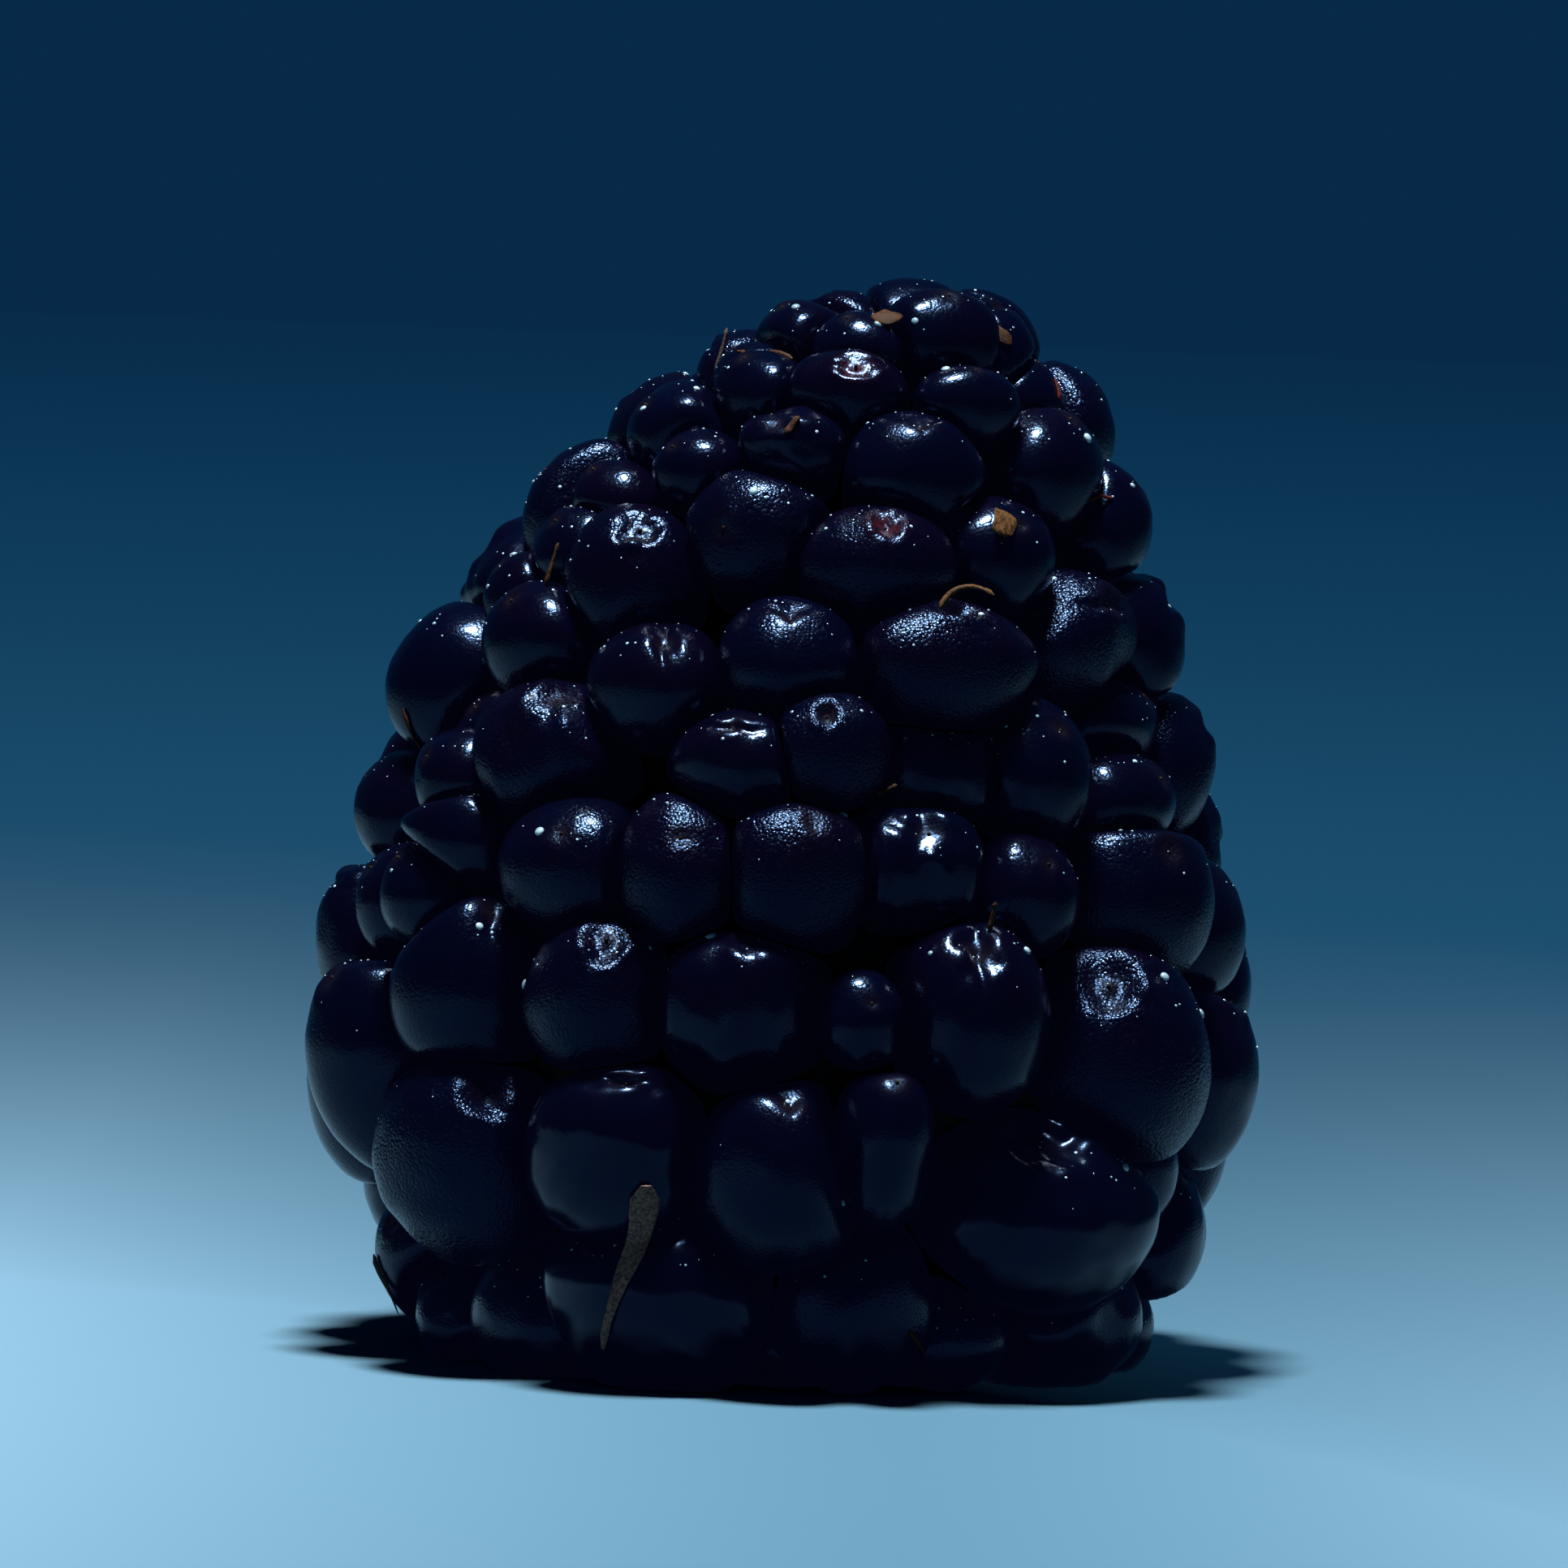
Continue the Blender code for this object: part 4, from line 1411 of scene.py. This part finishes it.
def evaluated_piece(holder: bpy.types.Object, name: str) -> bpy.types.Object:
    """The result of an object's modifiers as a plain mesh object; the object itself is removed.

    Args:
        holder: the object that carries the modifiers.
        name: the new object's name.

    Returns:
        The linked new object, at the origin.
    """
    mesh = bpy.data.meshes.new_from_object(holder.evaluated_get(bpy.context.evaluated_depsgraph_get()))
    mesh.name = name
    holder.modifiers.clear()
    bpy.data.objects.remove(holder)
    piece = bpy.data.objects.new(name, mesh)
    bpy.context.scene.collection.objects.link(piece)
    return piece


def add_tree(holder: bpy.types.Object, tree: bpy.types.NodeTree, values: dict[str, Any]) -> None:
    """Put a Geometry Nodes tree on an object and set its named inputs.

    Args:
        holder: the object.
        tree: the tree.
        values: the inputs' values, by name.
    """
    modifier = holder.modifiers.new(tree.name, "NODES")
    modifier.node_group = tree
    for socket in tree.interface.items_tree:
        if socket.in_out == "INPUT" and socket.name in values:
            modifier[socket.identifier] = values[socket.name]


def open_geometry_tree(name: str, inputs: dict[str, tuple[str, Any]]) -> tuple[NodeTree, Any]:
    """A Geometry Nodes tree that takes a geometry and a material besides its own inputs.

    Args:
        name: the tree's name.
        inputs: kind of socket and usual value of each other input, by name.

    Returns:
        The tree under construction, and the sockets that bring its inputs.
    """
    nodes, given = open_group(name, "GeometryNodeTree", {
        "Geometry": ("Geometry", None), **inputs, "Material": ("Material", None)}, {"Geometry": "Geometry"})
    nodes.tree.is_modifier = True
    return nodes, given


def close_geometry_tree(nodes: NodeTree, made: bpy.types.NodeSocket, given: Any) -> bpy.types.NodeTree:
    """End a tree: what it made becomes one real, smooth mesh in the given material.

    Args:
        nodes: the tree under construction.
        made: the socket of what it made.
        given: the sockets that bring its inputs.

    Returns:
        The finished tree.
    """
    real = nodes.node("GeometryNodeRealizeInstances", Geometry=made)
    smooth = nodes.node("GeometryNodeSetShadeSmooth", Geometry=real.outputs["Geometry"])
    dressed = nodes.node("GeometryNodeSetMaterial", Geometry=smooth.outputs["Geometry"],
                         Material=given["Material"])
    nodes.feed(nodes.node("NodeGroupOutput"), "Geometry", dressed.outputs["Geometry"])
    return nodes.tree


def build_thread_tree() -> bpy.types.NodeTree:
    """Geometry Nodes tree that turns a path with thicknesses into a closed, slightly uneven thread.

    Returns:
        The tree.
    """
    nodes, given = open_geometry_tree("dried_thread", {
        "Sides": ("Int", 8), "Flatness": ("Float", 1.0), "Unevenness": ("Float", 0.03 * MM),
        "Uneven Size": ("Float", 0.25 * MM)})
    path = nodes.node("GeometryNodeMeshToCurve", Mesh=given["Geometry"]).outputs["Curve"]
    facing_out = nodes.node("GeometryNodeInputNamedAttribute", {"data_type": "FLOAT_VECTOR"}, Name="facing")
    turned = nodes.node("GeometryNodeSetCurveNormal", {"mode": "FREE"}, Curve=path,
                        Normal=facing_out.outputs["Attribute"])
    ring = nodes.node("GeometryNodeCurvePrimitiveCircle", Resolution=given["Sides"], Radius=1.0)
    squash = nodes.node("ShaderNodeCombineXYZ", X=given["Flatness"], Y=1.0, Z=1.0)
    profile = nodes.node("GeometryNodeTransform", Geometry=ring.outputs["Curve"], Scale=squash.outputs[0])
    thick = nodes.node("GeometryNodeInputNamedAttribute", Name="thickness")
    tube = nodes.node("GeometryNodeCurveToMesh", Curve=turned.outputs["Curve"],
                      Profile_Curve=profile.outputs["Geometry"], Scale=thick.outputs["Attribute"],
                      Fill_Caps=True)
    scale = nodes.maths("DIVIDE", 1.0, given["Uneven Size"])
    noise = nodes.node("ShaderNodeTexNoise", Scale=scale, Detail=2.0)
    height = nodes.maths("MULTIPLY", nodes.maths("SUBTRACT", noise.outputs["Fac"], 0.5), given["Unevenness"])
    offset = nodes.node("ShaderNodeVectorMath", {"operation": "SCALE"}, Scale=height)
    nodes.feed(offset, 0, nodes.node("GeometryNodeInputNormal").outputs["Normal"])
    moved = nodes.node("GeometryNodeSetPosition", Geometry=tube.outputs["Mesh"],
                       Offset=offset.outputs["Vector"])
    return close_geometry_tree(nodes, moved.outputs["Geometry"], given)


@dataclass
class DriedStyles:
    """The dried threads and flakes, each grown along the skin from the middle of its CAD node's box."""

    outline: Outline
    skin: BVHTree
    points: int = 12
    embed: float = 0.3       # share of the thickness that a root sinks into the skin
    smoothings: int = 3

    def cleared(self, point: Vector, clear: float) -> Vector:
        """A point, moved out until it stands a distance clear of the skin.

        Args:
            point: the point.
            clear: the distance.

        Returns:
            The point, or a new one over the skin.
        """
        near, skin_normal, _, _ = self.skin.find_nearest(point)
        short = clear - (point - near).dot(skin_normal)
        return point + skin_normal * max(short, 0.0)

    def face_at(self, kind: Thread, point: Vector, outer: Vector) -> Vector:
        """The way that the flat side of a thread faces at one of its points.

        Args:
            kind: the thread's kind.
            point: a point of the thread.
            outer: the way that the berry's outline faces there.

        Returns:
            The skin's own way for a ribbon, turned up for a flake, and the outline's for the others.
        """
        if kind is Thread.RIBBON:
            return self.skin.find_nearest(point)[1]
        if kind is Thread.FLAKE:
            return (outer + Vector((0, 0, 1))).normalized()
        return outer

    def path(self, style: Style) -> tuple[list[Vector], list[Vector]]:
        """Points along a thread, in millimetres, and the way that its flat side faces at each one.

        Args:
            style: the thread.

        Returns:
            The points from root to tip, and as many unit vectors.
        """
        low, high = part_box(style.node)
        middle = (low + high) / 2 / MM
        level = middle - self.outline.middle(middle.z)
        azimuth = math.degrees(math.atan2(level.x, -level.y))
        normal = self.outline.normal(azimuth, middle.z)
        across, up = across_and_up(normal)
        lift = math.radians(style.lift)
        step_length = style.length / (self.points - 1)
        steps = []
        for place in range(self.points - 1):
            heading = math.radians(style.heading + style.curl * place / (self.points - 2))
            flat = math.cos(heading) * up + math.sin(heading) * across
            steps.append((math.cos(lift) * flat + math.sin(lift) * normal) * step_length)
        points = [middle - sum(steps, Vector()) / 2]
        for step in steps:
            points.append(points[-1] + step)
        drop = self.skin.find_nearest(points[0])[0] - points[0]
        clear = (0.5 - self.embed) * style.thickness
        settled = [self.cleared(point + drop, clear) for point in points]
        for _ in range(self.smoothings):
            inner = [(before + 2 * here + after) / 4
                     for before, here, after in zip(settled, settled[1:], settled[2:])]
            settled = [self.cleared(point, clear) for point in (settled[0], *inner, settled[-1])]
        return settled, [self.face_at(style.kind, point, normal) for point in settled]

    def build(self, finishes: dict[Finish, bpy.types.Material]) -> list[tuple[bpy.types.Object, str]]:
        """Every thread with the CAD node that it stands for.

        Args:
            finishes: the materials of the fibres.

        Returns:
            Pairs of a finished mesh object and a node's name.
        """
        tree = build_thread_tree()
        found = []
        for style in STYLES:
            points, facings = self.path(style)
            form = THREAD_FORMS[style.kind]
            last = len(points) - 1
            mesh = bpy.data.meshes.new("path")
            mesh.from_pydata([point * MM for point in points], [(i, i + 1) for i in range(last)], [])
            half = style.thickness / 2 * MM
            halves = [half * form.thickness(place / last) for place in range(len(points))]
            mesh.attributes.new("thickness", "FLOAT", "POINT").data.foreach_set("value", halves)
            flat = [value for one in facings for value in one]
            mesh.attributes.new("facing", "FLOAT_VECTOR", "POINT").data.foreach_set("vector", flat)
            holder = bpy.data.objects.new("path", mesh)
            bpy.context.scene.collection.objects.link(holder)
            add_tree(holder, tree, {
                "Sides": form.sides, "Flatness": form.flatness, "Material": finishes[style.finish]})
            found.append((evaluated_piece(holder, style.node.replace("dried_", "") + "_fibre"), style.node))
        return found


@dataclass
class Plug:
    """The plug that the drupelets grow on: hidden but for the pale scar in the underside."""

    outline: Outline
    depth: float = 2.5
    top: float = 25.4
    scar_radius: float = 3.3
    scar_foot: float = 0.12
    neck_ratio: float = 1.04     # radius of the neck against the scar's
    neck_rise: float = 1.3
    shoulder_rise: float = 2.4
    tip_length: float = 1.0
    least_radius: float = 0.7
    hollow: float = 0.35
    hollow_power: int = 4
    ridge: float = 0.05          # height of the scar's radial ridges, and how far out they run
    ridge_reach: float = 0.95
    ridge_beat: int = 11
    segments: int = 72
    rings: int = 26
    scar_rings: int = 12

    def profile(self) -> list[tuple[float, float]]:
        """Radius and height of the plug's outline, from the middle of its scar up to its top.

        Returns:
            Pairs of a radius and a height.
        """
        points = []
        for ring in range(1, self.scar_rings + 1):
            share = ring / self.scar_rings
            points.append((self.scar_radius * share, self.hollow * (1 - share**self.hollow_power)))
        neck = self.scar_radius * self.neck_ratio
        points += [(neck, self.scar_foot), (neck, self.neck_rise)]
        height = self.top - self.tip_length - self.shoulder_rise
        for ring in range(self.rings):
            rise = self.shoulder_rise + height * ring / (self.rings - 1)
            points.append((max(self.outline.radius(rise) - self.depth, self.least_radius), rise))
        return points

    def build(self) -> bpy.types.Object:
        """The plug as one closed body.

        Returns:
            The linked object.
        """
        rows = self.profile()
        turns = np.arange(self.segments) * 2 * math.pi / self.segments
        points = [(0.0, 0.0, self.hollow)]
        for radius, rise in rows:
            ridged = rise < self.neck_rise and radius < self.scar_radius * self.ridge_reach
            ridge = self.ridge if ridged else 0.0
            lean = self.outline.middle(rise).x
            for place, turn in enumerate(turns):
                lift = ridge * math.sin(place * self.ridge_beat) * radius / self.scar_radius
                points.append((lean + radius * math.sin(turn), -radius * math.cos(turn), rise + lift))
        points.append((self.outline.middle(self.top).x, 0.0, self.top))
        faces = [tuple(reversed(face)) for face in grid_faces(len(rows), self.segments)]
        return mesh_object("plug_core", np.array(points) * MM, faces)


@dataclass(frozen=True)
class PlugFlesh:
    """The plug's flesh: pale and fibrous in the scar, and above the scar painted near black as shade, since
    it shows only in the shaded gaps between the drupelets.
    """

    pale: tuple[float, float, float] = (0.40, 0.42, 0.22)
    bruised: tuple[float, float, float] = (0.22, 0.10, 0.09)
    patch_size: float = 0.7 * MM
    patch_shift: float = 0.05
    # Painted shade: the plug is near black above its scar, where it shows only in the gaps between the
    # drupelets.
    painted_shade_colour: tuple[float, float, float] = (0.0003, 0.0002, 0.0006)
    painted_shade_from: float = 0.5 * MM
    painted_shade_to: float = 1.2 * MM
    roughness: float = 0.45
    bruised_roughness: float = 0.65
    gloss: float = 0.1
    grain_size: float = 0.2 * MM
    grain_height: float = 0.03 * MM
    grain_strength: float = 0.7
    fine_share: float = 0.5

    def build(self, effects: Effects) -> bpy.types.Material:
        """The material.

        Args:
            effects: the shader groups that the finishes share.

        Returns:
            The material.
        """
        material, nodes, shader = new_material("plug_flesh")
        place = nodes.node("ShaderNodeTexCoord").outputs["Object"]
        mottle = place_group(nodes, effects.mottle, Vector=place, Patch_Size=self.patch_size,
                             Shift=self.patch_shift, Colour_A=(*self.pale, 1), Colour_B=(*self.bruised, 1))
        rise = nodes.node("ShaderNodeSeparateXYZ", Vector=place).outputs["Z"]
        # Painted shade over the plug above its scar.
        stain = nodes.ranged(rise, self.painted_shade_from, self.painted_shade_to, 0.0, 1.0)
        rough = nodes.ranged(mottle.outputs["Mask"], 0, 1, self.roughness, self.bruised_roughness)
        grain = place_group(nodes, effects.grain, Vector=place, Cell_Size=self.grain_size,
                            Fine_Share=self.fine_share)
        bump = nodes.node("ShaderNodeBump", Strength=self.grain_strength, Distance=self.grain_height,
                          Height=grain.outputs["Height"])
        nodes.feed(shader, "Base Color", nodes.mixed(stain, mottle.outputs["Colour"], (*self.painted_shade_colour, 1)))
        nodes.feed(shader, "Roughness", rough)
        nodes.feed(shader, "Specular IOR Level", self.gloss)
        nodes.feed(shader, "Normal", bump.outputs["Normal"])
        return material


def build_scatter_tree() -> bpy.types.NodeTree:
    """Geometry Nodes tree that sets small flattened beads on the wet faces of a surface.

    Returns:
        The tree.
    """
    rarity = 3.0   # the higher, the fewer of the beads are large
    nodes, given = open_geometry_tree("bead_scatter", {
        "Per Area": ("Float", 1.0e6), "Apart": ("Float", 0.25 * MM), "Smallest": ("Float", 0.03 * MM),
        "Largest": ("Float", 0.12 * MM), "Flatness": ("Float", 0.55), "Seed": ("Int", 5)})
    wet = nodes.node("GeometryNodeInputNamedAttribute", Name="wet")
    points = nodes.node("GeometryNodeDistributePointsOnFaces", {"distribute_method": "POISSON"},
                        Mesh=given["Geometry"], Density_Max=given["Per Area"], Distance_Min=given["Apart"],
                        Density_Factor=wet.outputs["Attribute"], Seed=given["Seed"])
    size = nodes.node("FunctionNodeRandomValue", Seed=given["Seed"])
    nodes.feed(size, 2, 0.0)
    nodes.feed(size, 3, 1.0)
    share = nodes.maths("POWER", size.outputs[1], rarity)
    span = nodes.maths("SUBTRACT", given["Largest"], given["Smallest"])
    radius = nodes.maths("MULTIPLY_ADD", share, span, given["Smallest"])
    bead = nodes.node("GeometryNodeMeshUVSphere", Segments=10, Rings=6, Radius=1.0)
    scale = nodes.node("ShaderNodeCombineXYZ", X=radius, Y=radius,
                       Z=nodes.maths("MULTIPLY", radius, given["Flatness"]))
    beads = nodes.node("GeometryNodeInstanceOnPoints", Points=points.outputs["Points"],
                       Instance=bead.outputs["Mesh"], Rotation=points.outputs["Rotation"],
                       Scale=scale.outputs[0])
    return close_geometry_tree(nodes, beads.outputs["Instances"], given)


def build_nub_tree() -> bpy.types.NodeTree:
    """Geometry Nodes tree that stands a dry nub on each point, along the point's own facing.

    Returns:
        The tree.
    """
    nodes, given = open_geometry_tree("scar_nubs", {"Slimness": ("Float", 0.8)})
    way = nodes.node("GeometryNodeInputNamedAttribute", {"data_type": "FLOAT_VECTOR"}, Name="facing")
    size = nodes.node("GeometryNodeInputNamedAttribute", Name="size")
    turn = nodes.node("FunctionNodeAlignRotationToVector", {"axis": "Z"}, Vector=way.outputs["Attribute"])
    nub = nodes.node("GeometryNodeMeshUVSphere", Segments=9, Rings=6, Radius=1.0)
    slim = nodes.maths("MULTIPLY", size.outputs["Attribute"], given["Slimness"])
    scale = nodes.node("ShaderNodeCombineXYZ", X=slim, Y=slim, Z=size.outputs["Attribute"])
    nubs = nodes.node("GeometryNodeInstanceOnPoints", Points=given["Geometry"], Instance=nub.outputs["Mesh"],
                      Rotation=turn.outputs["Rotation"], Scale=scale.outputs[0])
    return close_geometry_tree(nodes, nubs.outputs["Instances"], given)


@dataclass
class SmallMatter:
    """What stands on the skin in numbers: a dry nub in each scar, and the dew."""

    pieces: list[bpy.types.Object]
    scars: list[tuple[Vector, Vector, float]]
    seed: int = 5
    beads_per_area: float = 0.42e6
    beads_apart: float = 0.8 * MM
    bead_sizes: tuple[float, float] = (0.045 * MM, 0.14 * MM)
    dew_per_area: float = 2.4e6
    dew_apart: float = 0.12 * MM
    dew_sizes: tuple[float, float] = (0.018 * MM, 0.042 * MM)
    outer_gain: float = 1.6      # how fast the dew thickens from the hollows outwards
    outer_from: float = 0.5
    wet_gain: float = 2.0        # and from the sides that face the floor to those that face up
    wet_rise: float = 0.15

    def build_nubs(self, material: bpy.types.Material) -> bpy.types.Object:
        """The nubs that the styles left in the scars.

        Args:
            material: the nubs' finish.

        Returns:
            The piece.
        """
        mesh = bpy.data.meshes.new("scars")
        mesh.from_pydata([place * MM for place, _, _ in self.scars], [], [])
        ways = [value for _, way, _ in self.scars for value in way]
        mesh.attributes.new("facing", "FLOAT_VECTOR", "POINT").data.foreach_set("vector", ways)
        sizes = [size * MM for _, _, size in self.scars]
        mesh.attributes.new("size", "FLOAT", "POINT").data.foreach_set("value", sizes)
        holder = bpy.data.objects.new("scars", mesh)
        bpy.context.scene.collection.objects.link(holder)
        add_tree(holder, build_nub_tree(), {"Material": material})
        return evaluated_piece(holder, "style_scar_nubs")

    def scatter(self, bed: bpy.types.Object, name: str, tree: bpy.types.NodeTree,
                values: dict[str, Any]) -> bpy.types.Object:
        """The beads that a tree sets on a bed, as a piece of their own."""
        add_tree(bed, tree, {"Seed": self.seed, **values})
        return evaluated_piece(bed, name)

    def build_beads(self, material: bpy.types.Material) -> list[bpy.types.Object]:
        """The larger beads and the fine dew, most of them on the sides that face up and out.

        Args:
            material: the dew's finish.

        Returns:
            The two pieces.
        """
        points, faces, wet = [], [], []
        count = 0
        for piece in self.pieces:
            mesh = piece.data
            own = np.empty(len(mesh.vertices) * 3, np.float32)
            mesh.vertices.foreach_get("co", own)
            normals = np.empty(len(mesh.vertices) * 3, np.float32)
            mesh.vertex_normals.foreach_get("vector", normals)
            outer = np.empty(len(mesh.vertices), np.float32)
            mesh.attributes["outer"].data.foreach_get("value", outer)
            out_share = np.clip(outer * self.outer_gain - self.outer_from, 0, 1)
            up_share = np.clip((normals.reshape(-1, 3)[:, 2] - self.wet_rise) * self.wet_gain, 0, 1)
            wet.append(out_share * up_share)
            points.append(own.reshape(-1, 3))
            faces += [tuple(corner + count for corner in polygon.vertices) for polygon in mesh.polygons]
            count += len(mesh.vertices)
        bed = mesh_object("bead_bed", np.vstack(points), faces, {"wet": np.concatenate(wet)})
        dew_bed = bpy.data.objects.new("dew_bed", bed.data)
        bpy.context.scene.collection.objects.link(dew_bed)
        tree = build_scatter_tree()
        beads = self.scatter(bed, "juice_beads", tree, {
            "Per Area": self.beads_per_area, "Apart": self.beads_apart, "Smallest": self.bead_sizes[0],
            "Largest": self.bead_sizes[1], "Material": material})
        dew = self.scatter(dew_bed, "juice_dew", tree, {
            "Per Area": self.dew_per_area, "Apart": self.dew_apart, "Smallest": self.dew_sizes[0],
            "Largest": self.dew_sizes[1], "Material": material})
        return [beads, dew]


def skin_tree(pieces: Iterable[bpy.types.Object]) -> BVHTree:
    """A search tree over the drupelets' faces, in millimetres.

    Args:
        pieces: the drupelets' objects.

    Returns:
        The search tree.
    """
    points, faces = [], []
    for piece in pieces:
        count = len(points)
        points += [vertex.co / MM for vertex in piece.data.vertices]
        faces += [tuple(corner + count for corner in polygon.vertices) for polygon in piece.data.polygons]
    return BVHTree.FromPolygons(points, faces)


def finish_piece(piece: bpy.types.Object, nodes: Iterable[str]) -> None:
    """Make a piece ride on the berry's body and hide the nodes that it stands for.

    Args:
        piece: the finished mesh object.
        nodes: the CAD nodes that it stands for.
    """
    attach(piece, BODY)
    if nodes:
        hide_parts(*nodes)
    log.info("%s: %d faces", piece.name, len(piece.data.polygons))


def main() -> None:
    """Build the berry's looks round the frame."""
    logging.basicConfig(level=logging.INFO, format="%(name)s: %(message)s")
    Stage().build()
    effects = Effects(build_grain_group(), build_mottle_group())
    skin = RipeSkin().build(effects)
    layout = Layout()
    shaper = DrupeletShaper(layout.groups())
    pieces = list(shaper.build().values())
    for piece in pieces:
        piece.data.materials.append(skin)
        finish_piece(piece, ["berry"])
    plug = Plug(layout.outline).build()
    plug.data.materials.append(PlugFlesh().build(effects))
    finish_piece(plug, ["berry"])
    fibres = {fibre.finish: fibre.build(effects) for fibre in FIBRES}
    for piece, node in DriedStyles(layout.outline, skin_tree(pieces)).build(fibres):
        finish_piece(piece, [node])
    small = SmallMatter(pieces, shaper.scars)
    finish_piece(small.build_nubs(fibres[Finish.NUB]), [])
    for piece in small.build_beads(DewDrop().build(effects)):
        finish_piece(piece, [])


if __name__ == "__main__":
    main()
